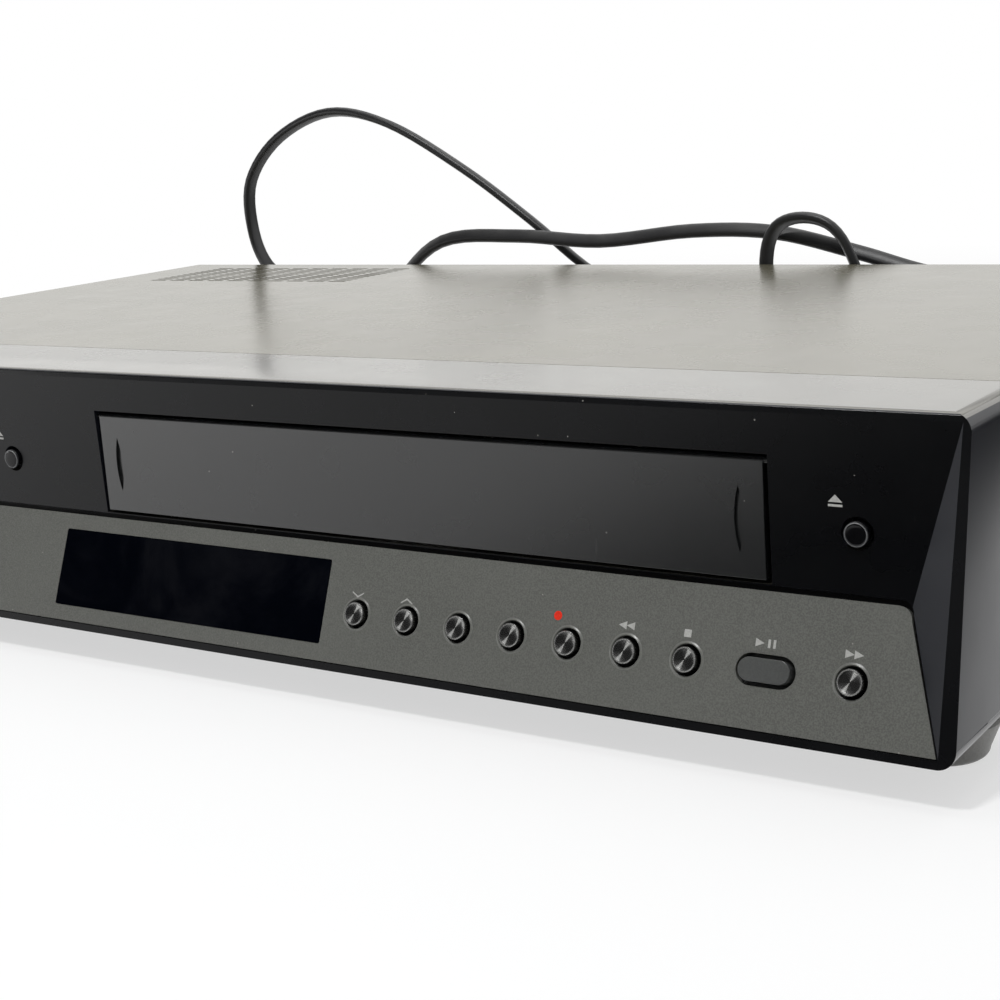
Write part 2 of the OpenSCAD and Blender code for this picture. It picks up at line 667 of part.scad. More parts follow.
module disc_tray() color("#1d1e20") in_place() {
  difference() {
    box([drive_x - tray_w / 2, tray_y, tray_z], [drive_x + tray_w / 2, tray_y + tray_l, tray_z + tray_t]);
    translate([drive_x, disc_y, tray_z + tray_t - disc_depth]) cylinder(h = 5, d = disc_seat_d, $fn = 96);
    translate([drive_x, disc_y, tray_z + tray_t - disc_depth - 1]) cylinder(h = 5, d = 80.6, $fn = 96);
    translate([drive_x, disc_y, tray_z - 1]) cylinder(h = 9, r = well_r);
    box([drive_x - well_r, disc_y, tray_z - 1], [drive_x + well_r, disc_y + 62, tray_z + tray_t + 1]);
    for (s = [-1, 1]) translate([drive_x + s * 52, disc_y + 52, tray_z - 1]) cylinder(h = 9, r = 3.5);
  }
  translate([rack_x, 0, tray_z - 3.6]) linear_extrude(3.6 + eps) rack_2d();
}

// Straight-flanked teeth, thinner than the rack's gaps
function gear_2d(n, m) = [for (i = [0:n - 1], k = [0:3])
  let (a = 360 * i / n + 90, half = [0.3, 0.17, -0.17, -0.3][k] * 360 / n,
       r = n * m / 2 + [-1.15, 0.85, 0.85, -1.15][k] * m)
  r * [cos(a - half), sin(a - half)]];

module tray_pinion() color("#d8d6cc") in_place() translate([rack_x + pinion_r, pinion_y, pinion_z[0]])
  difference() {
    linear_extrude(pinion_z[1] - pinion_z[0]) rotate(90) polygon(gear_2d(pinion_teeth, tooth_m));
    translate([0, 0, -1]) cylinder(h = 20, r = 1.5 + fit);
  }

module loader_frame() color("#2b2d30") in_place() translate([drive_x, 0, 0]) {
  inner = tray_w / 2 + groove_gap;
  top = bridge_z;
  difference() {
    union() {
      difference() {
        box([-loader_half, loader_y[0], loader_z], [loader_half, loader_y[1], top]);
        box([-inner, loader_y[0] - 1, loader_z + loader_floor], [inner, loader_y[1] - 3, top + 1]);
      }
      for (s = [-1, 1]) scale([s, 1, 1]) {
        box([inner - 2.6, loader_y[0] + 2, loader_z + loader_floor - eps],
            [inner + eps, loader_y[1] - 2, tray_z - seat]);
        box([inner - 2.4, loader_y[0] + 2, tray_z + tray_t + groove_gap],
            [inner + eps, loader_y[1] - 20, tray_z + tray_t + groove_gap + 1.8]);
        box([50.5, hinge_y - 6, loader_z], [55, hinge_y + 6, hinge_z + 2.7]);
      }
      translate([rack_x - drive_x + pinion_r, pinion_y, loader_z])
        cylinder(h = tray_z - 1.2 - loader_z, r = 1.5);
    }
    box([-49.5, 36, loader_z - 1], [49.5, hinge_y + 8, loader_z + 8]);
    translate([0, hinge_y, hinge_z]) rotate([0, 90, 0]) cylinder(h = 120, r = hinge_r + fit, center = true);
    translate([45, 24, loader_z - 1]) cylinder(h = 8, r = 2);
  }
}

module clamp_bridge() color("#a9abad") in_place() translate([drive_x, 0, 0]) difference() {
  union() {
    box([-loader_half, disc_y - 18, bridge_z], [loader_half, disc_y + 18, bridge_z + 1.2]);
    for (s = [-40, 40])
      box([s - 3, disc_y - 18, bridge_z + 1.2 - eps], [s + 3, disc_y + 18, bridge_z + 2.4]);
  }
  translate([0, disc_y, bridge_z - 1]) cylinder(h = 5, r = clamper_r + 0.4);
}

module disc_clamper() color("#26282b") in_place() translate([drive_x, disc_y, 0]) difference() {
  union() {
    translate([0, 0, clamper_z]) cylinder(h = bridge_z + 1.6 - clamper_z, r = clamper_r);
    translate([0, 0, bridge_z + 1.2 + seat]) cylinder(h = 1.5, r = clamper_r + 3.4);
  }
  translate([0, 0, clamper_z - eps]) cylinder(h = 2.5, r = 8);
}

// Children drawn on the raised traverse, hung down at its hinge
module on_traverse() translate([drive_x, hinge_y, hinge_z]) rotate([traverse_tilt, 0, 0])
  translate([0, -hinge_y, -hinge_z]) children();

module traverse_plate() color("#8f9192") in_place() on_traverse() {
  clip_y = [[rod_y[0] - 3, rod_y[0] + 3.4], [rod_y[1] - 3.4, rod_y[1] + 3]];
  difference() {
    union() {
      box([-48, disc_y - 20, plate_z], [48, hinge_y + 4, plate_z + plate_t]);
      for (x = [-rod_x, rod_x], y = clip_y) box([x - 3, y[0], plate_z - 1.2], [x + 3, y[1], rod_z + 2.2]);
      box([-48, hinge_y - 3, hinge_z - 1.9], [48, hinge_y + 3, plate_z + eps]);
    }
    box([-25, rod_y[0] + 4, plate_z - 2], [25, rod_y[1] - 4, plate_z + 6]);
    for (x = [-rod_x, rod_x])
      facing_rear(x, rod_y[0], rod_z) cylinder(h = rod_y[1] - rod_y[0], r = rod_r + fit);
    translate([0, disc_y, plate_z - 1]) cylinder(h = 5, r = 8);
  }
  for (s = [-1, 1]) translate([s * 50.5, hinge_y, hinge_z]) rotate([0, 90, 0])
    cylinder(h = 7, r = hinge_r, center = true);
}

module guide_rods() color("#c9cbcc") in_place() on_traverse() for (x = [-rod_x, rod_x])
  facing_rear(x, rod_y[0] + 0.2, rod_z) cylinder(h = rod_y[1] - rod_y[0] - 0.4, r = rod_r);

module spindle_motor() color("#b5b7b8") in_place() on_traverse() {
  top = disc_z - turntable_t - seat - plate_z - plate_t;
  translate([0, disc_y, plate_z + plate_t]) difference() {
    union() {
      cylinder(h = top, r = 12.5);
      translate([0, 0, -3]) cylinder(h = 3.1, r = 7.9);
    }
    translate([0, 0, -2]) cylinder(h = 12, r = 1 + fit);
  }
}

module turntable() color("#1b1c1e") in_place() on_traverse() translate([0, disc_y, disc_z - turntable_t]) {
  cylinder(h = turntable_t, r = 14);
  translate([0, 0, turntable_t - eps]) cylinder(h = 1.2, r1 = 7.4, r2 = 6.4);
  translate([0, 0, -6.4]) cylinder(h = 6.5, r = 1);
}

module optical_pickup() color("#3d3f42") in_place() on_traverse() difference() {
  union() {
    box([-16, pickup_y[0], plate_z - 0.6], [16, pickup_y[1], rod_z + 1.6]);
    box([-rod_x - 2.8, pickup_y[0] + 2, rod_z - 0.8 - rod_r],
        [rod_x + 2.8, pickup_y[1] - 2, rod_z + 0.8 + rod_r]);
    translate([0, pickup_y[0] + 10, rod_z + 1]) cylinder(h = 1.5, r = 3.2);
  }
  for (x = [-rod_x, rod_x]) facing_rear(x, pickup_y[0] - 5, rod_z) cylinder(h = 50, r = rod_r + fit);
}

module tray_motor() color("#b9bbbc") in_place() translate([drive_x + 45, 24, loader_z]) {
  translate([0, 0, -13]) cylinder(h = 13, r = 10);
  translate([0, 0, -eps]) cylinder(h = 7, r = 1);
  translate([0, 0, loader_floor + 0.5]) difference() {
    cylinder(h = 3.4, r = 5);
    translate([0, 0, 1.2]) rotate_extrude() translate([5.2, 0]) square([1.6, 1], center = true);
  }
}

// ---------------------------------------------------------------- cassette deck

module deck_plate() color("#aeb0b0") in_place() {
  translate([0, 0, deck_z]) linear_extrude(deck_t) difference() {
    translate([deck_x - deck_half, deck_y[0]]) square([2 * deck_half, deck_y[1] - deck_y[0]]);
    translate([post_supply_x, post_rest_y]) slot_2d(-0.04 * post_way(-1), 1.04 * post_way(-1), 2.6);
    translate([post_takeup_x, post_rest_y]) slot_2d(-0.04 * post_way(1), 1.04 * post_way(1), 2.6);
    translate(capstan_at) circle(5 + fit);
    for (p = deck_posts) translate(p) circle(1.7);
    translate([deck_x, 70]) square([60, 24], center = true);
    translate([deck_x, reel_y + 24]) square([40, 10], center = true);
  }
  for (y = [[deck_y[0], deck_y[0] + 1.2], [deck_y[1] - 1.2, deck_y[1]]])
    box([deck_x - deck_half + 20, y[0], deck_z - 5], [deck_x + deck_half - 20, y[1], deck_z + eps]);
  for (s = [-1, 1]) translate([deck_x + s * reel_x, reel_y, deck_z]) cylinder(h = 11, r = 1.5);
  translate([pinch_pivot[0], pinch_pivot[1], deck_z]) cylinder(h = 21, r = 2);
}

// The carriage's side walls carry an L-shaped guide slot each
module carriage_frame() color("#a3a5a6") in_place() translate([deck_x, 0, 0]) {
  for (s = [-1, 1]) scale([s, 1, 1]) {
    difference() {
      box([carriage_half, carriage_y[0], deck_top], [carriage_half + 1.2, carriage_y[1], carriage_h]);
      translate([carriage_half - 1, 0, 0]) rotate([90, 0, 90]) linear_extrude(4) {
        translate([42, slot_z - 2.4]) square([14 + basket_in, 4.8]);
        translate([42 + 30, 22]) square([40, 14]);
      }
    }
    box([carriage_half, deck_y[0] + 14, deck_top], [deck_half - 0.5, carriage_y[1] - 20, deck_top + 1]);
  }
  box([-carriage_half - 0.5, 118, carriage_h - 1], [carriage_half + 0.5, 134, carriage_h]);
}

module carriage_slides() color("#e0ded4") in_place() translate([deck_x, 0, 0])
  for (s = [-1, 1]) scale([s, 1, 1]) {
    box([basket_half + sheet_gap, 38, 40], [basket_half + sheet_gap + slide_t, 108, 56]);
    for (y = [46, 51.5]) translate([basket_half + sheet_gap + slide_t - eps, y, slot_z])
      rotate([0, 90, 0]) cylinder(h = 1.4, r = 2);
  }

module cassette_basket() color("#b3b5b5") in_place() translate([deck_x, 0, 0]) {
  for (s = [-1, 1]) scale([s, 1, 1]) {
    box([70, basket_y[0], basket_z], [basket_half, basket_y[1], basket_z + basket_t]);
    box([basket_half - basket_wall, basket_y[0], basket_z], [basket_half, basket_y[1], basket_z + basket_h]);
  }
  for (s = [-1, 1]) scale([s, 1, 1])
    box([70, basket_y[1] - 1.4, basket_z], [basket_half, basket_y[1], basket_z + 14]);
  box([-basket_half, basket_y[1] - 1.4, basket_z + 10], [basket_half, basket_y[1], basket_z + 14]);
  box([-basket_half, 60, basket_z + basket_h - 1], [basket_half, 82, basket_z + basket_h]);
}

module on_drum() translate(drum_at) rotate([drum_tilt, 0, 0]) children();

module head_drum() color("#d4d6d8") in_place() on_drum() {
  difference() {
    translate([0, 0, drum_split + 0.3]) cylinder(h = 16, r = drum_r, $fn = 96);
    translate([0, 0, drum_split + 13]) difference() {
      cylinder(h = 5, r = drum_r - 5);
      translate([0, 0, -1]) cylinder(h = 7, r = 9);
    }
    for (a = [0, 90, 180, 270]) rotate(a) translate([drum_r - 1.2, -2, drum_split]) cube([3, 4, 3]);
  }
  translate([0, 0, 2]) cylinder(h = drum_split, r = 2.5);
}

module drum_base() color("#c2c4c6") in_place() {
  difference() {
    union() {
      on_drum() cylinder(h = drum_split, r = drum_r, $fn = 96);
      translate([drum_at[0], drum_at[1], deck_top]) cylinder(h = 5, r = 27);
    }
    on_drum() translate([0, 0, 1.5]) cylinder(h = 40, r = 2.5 + fit);
  }
}

module capstan_bearing() color("#b4a05a") in_place() translate(capstan_at) difference() {
  union() {
    translate([0, 0, 9]) cylinder(h = 10.5, r = 5);
    translate([0, 0, deck_top]) cylinder(h = 2, r = 9);
  }
  translate([0, 0, 5]) cylinder(h = 30, r = 1.5 + fit);
}

module capstan_flywheel() color("#c8cacb") in_place() translate(capstan_at) {
  difference() {
    translate([0, 0, 4]) cylinder(h = 4.6, r = 21, $fn = 96);
    translate([0, 0, 3]) difference() {
      cylinder(h = 2.6, r = 17);
      translate([0, 0, -1]) cylinder(h = 5, r = 6);
    }
  }
  translate([0, 0, 5]) cylinder(h = 37, r = 1.5);
}

function pinch_tip() = pinch_pivot + pinch_l * [cos(pinch_rest), sin(pinch_rest)];

module pinch_arm() color("#8e9091") in_place() {
  difference() {
    union() {
      translate([pinch_pivot[0], pinch_pivot[1], deck_top + seat]) cylinder(h = 23, r = 4);
      translate([0, 0, deck_top + seat + 21]) linear_extrude(2) slot_2d(pinch_pivot, pinch_tip(), 3.4);
    }
    translate([pinch_pivot[0], pinch_pivot[1], 5]) cylinder(h = 60, r = 2 + fit);
  }
  translate([pinch_tip()[0], pinch_tip()[1], deck_top + 6]) cylinder(h = 16, r = 1.5);
}

module pinch_roller() color("#191a1b") in_place()
  translate([pinch_tip()[0], pinch_tip()[1], deck_top + 7]) tube(pinch_r, 1.5 + fit, 13.6);

module reel() {
  difference() {
    union() {
      cylinder(h = 2.4, r = 13);
      cylinder(h = 12.6, r = 4.2);
      for (a = [0, 120, 240]) rotate(a) translate([3, -1, 0]) cube([3.2, 2, 11]);
    }
    translate([0, 0, -1]) cylinder(h = 11.4, r = 1.5 + fit);
  }
}

module supply_reel() color("#e6e4da") in_place()
  translate([deck_x - reel_x, reel_y, deck_top + seat]) reel();
module takeup_reel() color("#e6e4da") in_place()
  translate([deck_x + reel_x, reel_y, deck_top + seat]) reel();

module guide_post() {
  translate([0, 0, deck_top + seat]) {
    linear_extrude(3) stadium(13, 9);
    cylinder(h = 26, r = 1.6);
    translate([0, 0, 5]) cylinder(h = 1.6, r = 3.2);
    translate([0, 0, 20.5]) cylinder(h = 1.6, r = 3.2);
  }
  translate([0, 0, deck_z - 1.8]) cylinder(h = 4, r = 2.4);
  translate([0, 0, deck_z - 3.3]) cylinder(h = 3, r = 3.6);
}

module supply_guide_post() color("#c4c6c7") in_place()
  translate([post_supply_x, post_rest_y, 0]) guide_post();
module takeup_guide_post() color("#c4c6c7") in_place()
  translate([post_takeup_x, post_rest_y, 0]) guide_post();

module deck_motor() color("#a8aaab") in_place() {
  x0 = deck_x - deck_half + 4;
  y = drum_at[1] + 7;
  box([x0 + 2, y - 11, deck_top], [x0 + 26, y + 11, deck_top + 6]);
  difference() {
    translate([x0 + 14, y, deck_top + 16]) rotate([0, 90, 0]) cylinder(h = 26, r = 11.8, center = true);
    box([x0 - 2, y - 13, deck_top - 1], [x0 + 30, y + 13, deck_top + 5]);
  }
  translate([x0 + 27, y, deck_top + 16]) rotate([0, 90, 0]) cylinder(h = 9, r = 2.4);
}

// ---------------------------------------------------------------- boards

module chip(x, y, w, d, h, z) translate([x - w / 2, y - d / 2, z - eps]) cube([w, d, h + eps]);
module can(x, y, d, h, z) translate([x, y, z - eps]) cylinder(h = h + eps, d = d);

board_z = [6, 7.6];

module main_board() color("#1f5136") in_place() {
  left = main_edge[0];
  front = main_edge[1];
  right = main_edge[2];
  rear = main_edge[3];
  top = board_z[1];
  box([left, front, board_z[0]], [right, rear, top]);
  chip(left + 56, rear - 60, 28, 28, 2, top);
  chip(left + 96, front + 32, 20, 14, 2, top);
  chip(left + 110, rear - 30, 18, 18, 2, top);
  chip(left + 26, front + 32, 12, 22, 2.4, top);
  chip(right - 20, rear - 20, 8, 34, 7, top);
  chip(right - 20, front + 40, 8, 30, 7, top);
  for (p = [[16, 50], [16, 38], [30, 14], [86, 58], [86, 48], [124, 62]])
    can(left + p[0], rear - p[1], 6.3, 9, top);
  for (x = [66, 80, 94]) can(left + x, front + 10, 5, 7, top);
}

module power_board() color("#8a6a34") in_place() {
  left = power_edge[0];
  right = power_edge[2];
  rear = power_edge[3];
  top = board_z[1];
  difference() {
    union() {
      box([left, power_edge[1], board_z[0]], [right, rear, top]);
      chip(left + 58, rear - 24, 34, 28, 22, top);
      chip(left + 58, rear - 24, 20, 38, 18, top);
      can(left + 17, rear - 15, 22, 32, top);
      chip(right - 40, rear - 16, 3, 26, 30, top);
      for (y = [5:4:27]) chip(right - 36.6, rear - y, 4, 1.2, 30, top);
      for (x = [12, 24], y = [24, 38]) can(right - x, rear - y, 8, 14, top);
      chip(right - 52, rear - 42, 12, 8, 16, top);
    }
    facing_rear(relief_x, rear - 13, relief_z) cylinder(h = 30, r = 9);
  }
}

module tact_switch() {
  translate([-3, -3, 0]) cube([6, 6, 3]);
  cylinder(h = -board_n - wall_behind_trim - seat - 1.4 - button_travel - seat, r = 1.6);
}

module upper_board(x0, x1, x) {
  box([x0, upper_board_y, upper_button_z - 9], [x1, upper_board_y + 1.6, upper_button_z + 9]);
  gap = upper_board_y - door_face - bezel_wall - 1.2 - seat - 1.4;
  facing_front(x, upper_board_y, upper_button_z) {
    translate([-3, -3, -eps]) cube([6, 6, gap - button_travel - seat - 0.3]);
    cylinder(h = gap - button_travel - seat, r = 1.6);
  }
}

module front_board() color("#245a3c") in_place() {
  on_slope() translate([0, 0, board_n - 1.6]) linear_extrude(1.6)
    translate([power_x - 8, -22]) square([forward_x - power_x + 13.2, 23]);
  for (x = concat([power_x, play_x, forward_x], row_x))
    on_slope(x, button_s) translate([0, 0, board_n - eps]) tact_switch();
  upper_board(eject_x - 10, eject_x + 5, eject_x);
  upper_board(tray_button_x - 5, tray_button_x + 8, tray_button_x);
}

// ---------------------------------------------------------------- connectors

module phono_sleeve(reach) difference() {
  cylinder(h = reach, d = phono_d);
  translate([0, 0, 1]) difference() {
    cylinder(h = reach, d = phono_d - 1);
    cylinder(h = reach - 2, d = phono_d - 2.6);
  }
  translate([0, 0, 2]) cylinder(h = reach, d = 3.3);
}

module rear_jacks() color("#1a1a1b") in_place() {
  inner_y = body_d - base_t - 0.2;
  box([-60, body_d - 19, 7.4], [40, inner_y, 9]);
  box([jack_x[0] - 8, body_d - 13, 9 - eps], [jack_x[4] + 8, inner_y, jack_z[1] + 8]);
  for (x = jack_x, z = jack_z) {
    facing_rear(x, inner_y - eps, z) cylinder(h = base_t + 0.2 + eps, d = phono_d + 2 * hole_gap - 0.1);
    facing_rear(x, inner_y, z) phono_sleeve(phono_reach + base_t + 0.2);
  }
  difference() {
    box([hdmi_x - 7.6, body_d - 15, 9 - eps], [hdmi_x + 7.6, body_d + 1.4, jack_z[0] + 2.8]);
    box([hdmi_x - 7.7, inner_y - 0.1, 8], [hdmi_x + 7.7, body_d + 2, jack_z[0] - 2.8]);
    box([hdmi_x - 6.8, body_d - 8, jack_z[0] - 2], [hdmi_x + 6.8, body_d + 2, jack_z[0] + 2]);
  }
}

module antenna_jacks() color("#b8babb") in_place() {
  inner_y = body_d - base_t - 0.2;
  box([antenna_x - 24, body_d - 19.5, base_t], [antenna_x + 24, inner_y, 60]);
  for (z = antenna_z) facing_rear(antenna_x, inner_y - eps, z) difference() {
    union() {
      cylinder(h = base_t + 0.2 + eps, d = antenna_d + 2 * hole_gap - 0.1);
      cylinder(h = antenna_reach + base_t + 0.2 + eps, d = antenna_d);
    }
    translate([0, 0, 3]) cylinder(h = 20, r = 2.6);
  }
}

module front_jacks() color("#222325") in_place() for (x = phono_front_x) on_slope(x, button_s) {
  translate([-5.8, -5.8, board_n]) cube([11.6, 11.6, -board_n - wall_behind_trim - seat]);
  translate([0, 0, -wall_behind_trim - seat - eps]) phono_sleeve(wall_behind_trim + 4);
}

// ---------------------------------------------------------------- mains lead

module cord_relief() color("#1b1b1c") in_place() facing_rear(relief_x, body_d, relief_z) {
  translate([0, 0, -base_t - 3]) difference() {
    cylinder(h = base_t + 4, r = 6);
    translate([0, 0, -1]) cylinder(h = 2, r = 3);
  }
  translate([0, 0, -base_t - 2.4]) cylinder(h = 2.2, r = 7.4);
  cylinder(h = 2, r = 8);
  difference() {
    cylinder(h = relief_l - seat, r1 = 6, r2 = cord_d / 2 + 1);
    for (i = [1:6]) translate([0, 0, 3.4 + 4 * i]) difference() {
      cylinder(h = 1.4, r = 9);
      translate([0, 0, -1]) cylinder(h = 4, r = cord_d / 2 + 0.4);
    }
  }
}

function spline(p0, p1, p2, p3, t) = 0.5 * (2 * p1 + (p2 - p0) * t
  + (2 * p0 - 5 * p1 + 4 * p2 - p3) * t * t + (3 * p1 - p0 - 3 * p2 + p3) * t * t * t);
function unit(v) = v / norm(v);

module mains_cord() color("#1c1c1d") in_place() {
  sides = 8;
  last = len(cord_points) - 1;
  path = concat([for (i = [0:last - 1], t = [0, 0.5])
    spline(cord_points[max(i - 1, 0)], cord_points[i], cord_points[i + 1], cord_points[min(i + 2, last)], t)],
    [plug_at]);
  count = len(path);
  way = [for (i = [0:count - 1]) unit(path[min(i + 1, count - 1)] - path[max(i - 1, 0)])];
  across = [for (i = 0, u = [1, 0, 0]; i < count;
    u = i + 1 < count ? unit(u - (u * way[i + 1]) * way[i + 1]) : u, i = i + 1) u];
  rings = [for (i = [0:count - 1], k = [0:sides - 1])
    let (a = 360 * k / sides, up = cross(way[i], across[i]))
    path[i] + cord_d / 2 * (cos(a) * across[i] + sin(a) * up)];
  sides_faces = [for (i = [0:count - 2], k = [0:sides - 1])
    let (n = (k + 1) % sides) each [
      [i * sides + k, (i + 1) * sides + k, (i + 1) * sides + n],
      [i * sides + k, (i + 1) * sides + n, i * sides + n]]];
  ends = [[for (k = [0:sides - 1]) k], [for (k = [sides - 1:-1:0]) (count - 1) * sides + k]];
  polyhedron(rings, concat(sides_faces, ends));
}

module mains_plug() color("#1a1a1b") in_place() translate(plug_at + [seat, 0, 0]) rotate([0, 90, 0]) {
  cylinder(h = 14, r1 = cord_d / 2 + 0.6, r2 = 5);
  translate([0, 0, 14 - eps]) linear_extrude(22) rounded(12, 18, 3);
  for (s = [-1, 1]) translate([-3.2, s * 6.35 - 0.75, 36 - eps]) cube([6.4, 1.5, 17]);
}

base_chassis();
rear_panel();
top_cover();
front_bezel();
lower_trim_panel();
display_window();
display_module();
cassette_door();
feet();
cover_screws();
chassis_screws();
power_button();
tray_button();
eject_button();
select_down_button();
select_up_button();
source_button();
output_button();
record_button();
rewind_button();
stop_button();
play_button();
forward_button();
tray_front();
disc_tray();
loader_frame();
clamp_bridge();
disc_clamper();
traverse_plate();
spindle_motor();
turntable();
optical_pickup();
guide_rods();
tray_pinion();
tray_motor();
deck_plate();
carriage_frame();
carriage_slides();
cassette_basket();
head_drum();
drum_base();
capstan_flywheel();
capstan_bearing();
pinch_arm();
pinch_roller();
supply_reel();
takeup_reel();
supply_guide_post();
takeup_guide_post();
deck_motor();
main_board();
power_board();
front_board();
rear_jacks();
antenna_jacks();
front_jacks();
cord_relief();
mains_cord();
mains_plug();
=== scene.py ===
import json
from math import cos, radians, sin, tau

import bmesh
import bpy
from bpy.props import FloatProperty, FloatVectorProperty, IntProperty, PointerProperty
from mathutils import Matrix, Vector
from mathutils.geometry import interpolate_bezier

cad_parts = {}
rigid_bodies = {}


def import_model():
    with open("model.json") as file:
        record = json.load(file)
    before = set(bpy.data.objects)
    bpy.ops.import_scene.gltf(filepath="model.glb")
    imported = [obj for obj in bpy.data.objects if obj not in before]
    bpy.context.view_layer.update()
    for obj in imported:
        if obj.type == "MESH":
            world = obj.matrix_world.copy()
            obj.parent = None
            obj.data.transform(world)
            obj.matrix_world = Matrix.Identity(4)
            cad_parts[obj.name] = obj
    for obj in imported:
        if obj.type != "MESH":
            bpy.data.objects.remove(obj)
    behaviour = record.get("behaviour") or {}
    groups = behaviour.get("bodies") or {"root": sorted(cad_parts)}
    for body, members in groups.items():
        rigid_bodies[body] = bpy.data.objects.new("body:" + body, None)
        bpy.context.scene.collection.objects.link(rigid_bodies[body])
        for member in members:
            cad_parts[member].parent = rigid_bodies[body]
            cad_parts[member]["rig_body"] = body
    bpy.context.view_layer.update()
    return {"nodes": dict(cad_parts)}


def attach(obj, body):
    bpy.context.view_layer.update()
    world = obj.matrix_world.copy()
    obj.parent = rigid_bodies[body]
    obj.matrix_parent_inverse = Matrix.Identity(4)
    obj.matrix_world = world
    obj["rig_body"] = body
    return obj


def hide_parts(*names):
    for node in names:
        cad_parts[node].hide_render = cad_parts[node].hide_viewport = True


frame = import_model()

bl_info = {
    "name": "Disc and Tape Player",
    "version": (1, 0, 0),
    "blender": (4, 5, 0),
    "location": "3D View > Sidebar > Player",
    "description": "Finishes, print, turned caps and mains lead of a disc and tape player",
    "category": "Object",
}

NODES = frame["nodes"]
MM = 0.001

# ---------------------------------------------------------------- places on the front

# The housing's front top edge and underside, and the lean and slope of its two front panels, which
# meet at a ridge. The ridge is given in millimetres behind that edge and above the underside.
HOUSING = Vector((0, -121.25, 9)) * MM
LEAN = 0.02698
SLOPE = radians(22.34)
RIDGE_IN, RIDGE_UP = 0.9, 29
SLOPE_UP = Vector((0, sin(SLOPE), cos(SLOPE)))
SLOPE_OUT = Vector((0, -cos(SLOPE), sin(SLOPE)))
FRONT_UP = Vector((0, -0.02697, 0.99964))
FRONT_OUT = Vector((0, -0.99964, -0.02697))
REAR_FACE = 243


def housing(x, y, z):
    """A point measured from the front top edge and the underside, in metres."""
    return HOUSING + Vector((x, y, z)) * MM


def on_slope(x, s):
    """A frame on the sloped panel: X along it, Y up it, Z out of it. s is the way up from the ridge."""
    origin = housing(x, RIDGE_IN, RIDGE_UP) + SLOPE_UP * s * MM
    turn = Matrix((Vector((1, 0, 0)), SLOPE_UP, SLOPE_OUT)).transposed().to_4x4()
    return Matrix.Translation(origin) @ turn


def on_front(x, z, out=0.0):
    """A frame on the upright panel, which leans a little forward: X along it, Y up, Z out of it."""
    origin = housing(x, RIDGE_IN - LEAN * (z - RIDGE_UP), z) + FRONT_OUT * out * MM
    turn = Matrix((Vector((1, 0, 0)), FRONT_UP, FRONT_OUT)).transposed().to_4x4()
    return Matrix.Translation(origin) @ turn


def on_rear(x, z):
    """A frame on the rear panel, seen from behind: Z points out of it."""
    turn = Matrix.Rotation(radians(180), 4, "Z") @ Matrix.Rotation(radians(90), 4, "X")
    return Matrix.Translation(housing(x, REAR_FACE, z)) @ turn


# ---------------------------------------------------------------- settings


class PlayerSizes(bpy.types.PropertyGroup):
    """Sizes of the dressed pieces."""

    edge: FloatProperty(
        name="Moulded Edge", description="Radius on the edges of the plastic front",
        default=0.0003, min=0.00005, max=0.001, precision=5, unit="LENGTH")
    fold: FloatProperty(
        name="Sheet Edge", description="Radius on the cut edges of sheet metal",
        default=0.00012, min=0.00002, max=0.0005, precision=5, unit="LENGTH")
    cap_radius: FloatProperty(
        name="Cap Radius", description="Radius of a round cap in the lower row",
        default=0.00281, min=0.002, max=0.0034, precision=5, unit="LENGTH")
    print_height: FloatProperty(
        name="Print Height", description="How far the printed marks stand on the panel",
        default=0.00003, min=0.00001, max=0.0002, precision=5, unit="LENGTH")
    lead_width: FloatProperty(
        name="Lead Width", description="Width of the flat twin mains lead",
        default=0.0054, min=0.004, max=0.008, precision=4, unit="LENGTH")
    lead_thickness: FloatProperty(
        name="Lead Thickness", description="Thickness of the flat twin mains lead",
        default=0.0033, min=0.002, max=0.005, precision=4, unit="LENGTH")
    turns: IntProperty(
        name="Cap Facets", description="Steps around a turned cap",
        default=48, min=24, max=96)


class PlayerColours(bpy.types.PropertyGroup):
    """Colours of the finishes."""

    cover: FloatVectorProperty(
        name="Cover Paint", description="Textured paint of the folded cover",
        subtype="COLOR", size=3, min=0, max=1, default=(0.107, 0.1, 0.07))
    bezel: FloatVectorProperty(
        name="Front Moulding", description="Satin plastic of the front",
        subtype="COLOR", size=3, min=0, max=1, default=(0.0016, 0.0018, 0.0026))
    trim: FloatVectorProperty(
        name="Lower Panel", description="Fine metallic paint of the sloped panel",
        subtype="COLOR", size=3, min=0, max=1, default=(0.092, 0.0935, 0.085))
    door: FloatVectorProperty(
        name="Door", description="Satin plastic of the cassette door",
        subtype="COLOR", size=3, min=0, max=1, default=(0.0085, 0.009, 0.0094))
    window: FloatVectorProperty(
        name="Window", description="Tinted plate over the display",
        subtype="COLOR", size=3, min=0, max=1, default=(0.0008, 0.0012, 0.0026))
    printing: FloatVectorProperty(
        name="Printed Marks", description="Light ink of the marks",
        subtype="COLOR", size=3, min=0, max=1, default=(0.42, 0.42, 0.4))
    record: FloatVectorProperty(
        name="Record Mark", description="Red ink of the record mark",
        subtype="COLOR", size=3, min=0, max=1, default=(0.72, 0.03, 0.012))
    lead: FloatVectorProperty(
        name="Mains Lead", description="Flexible sheath of the lead",
        subtype="COLOR", size=3, min=0, max=1, default=(0.018, 0.018, 0.019))


# ---------------------------------------------------------------- finishes


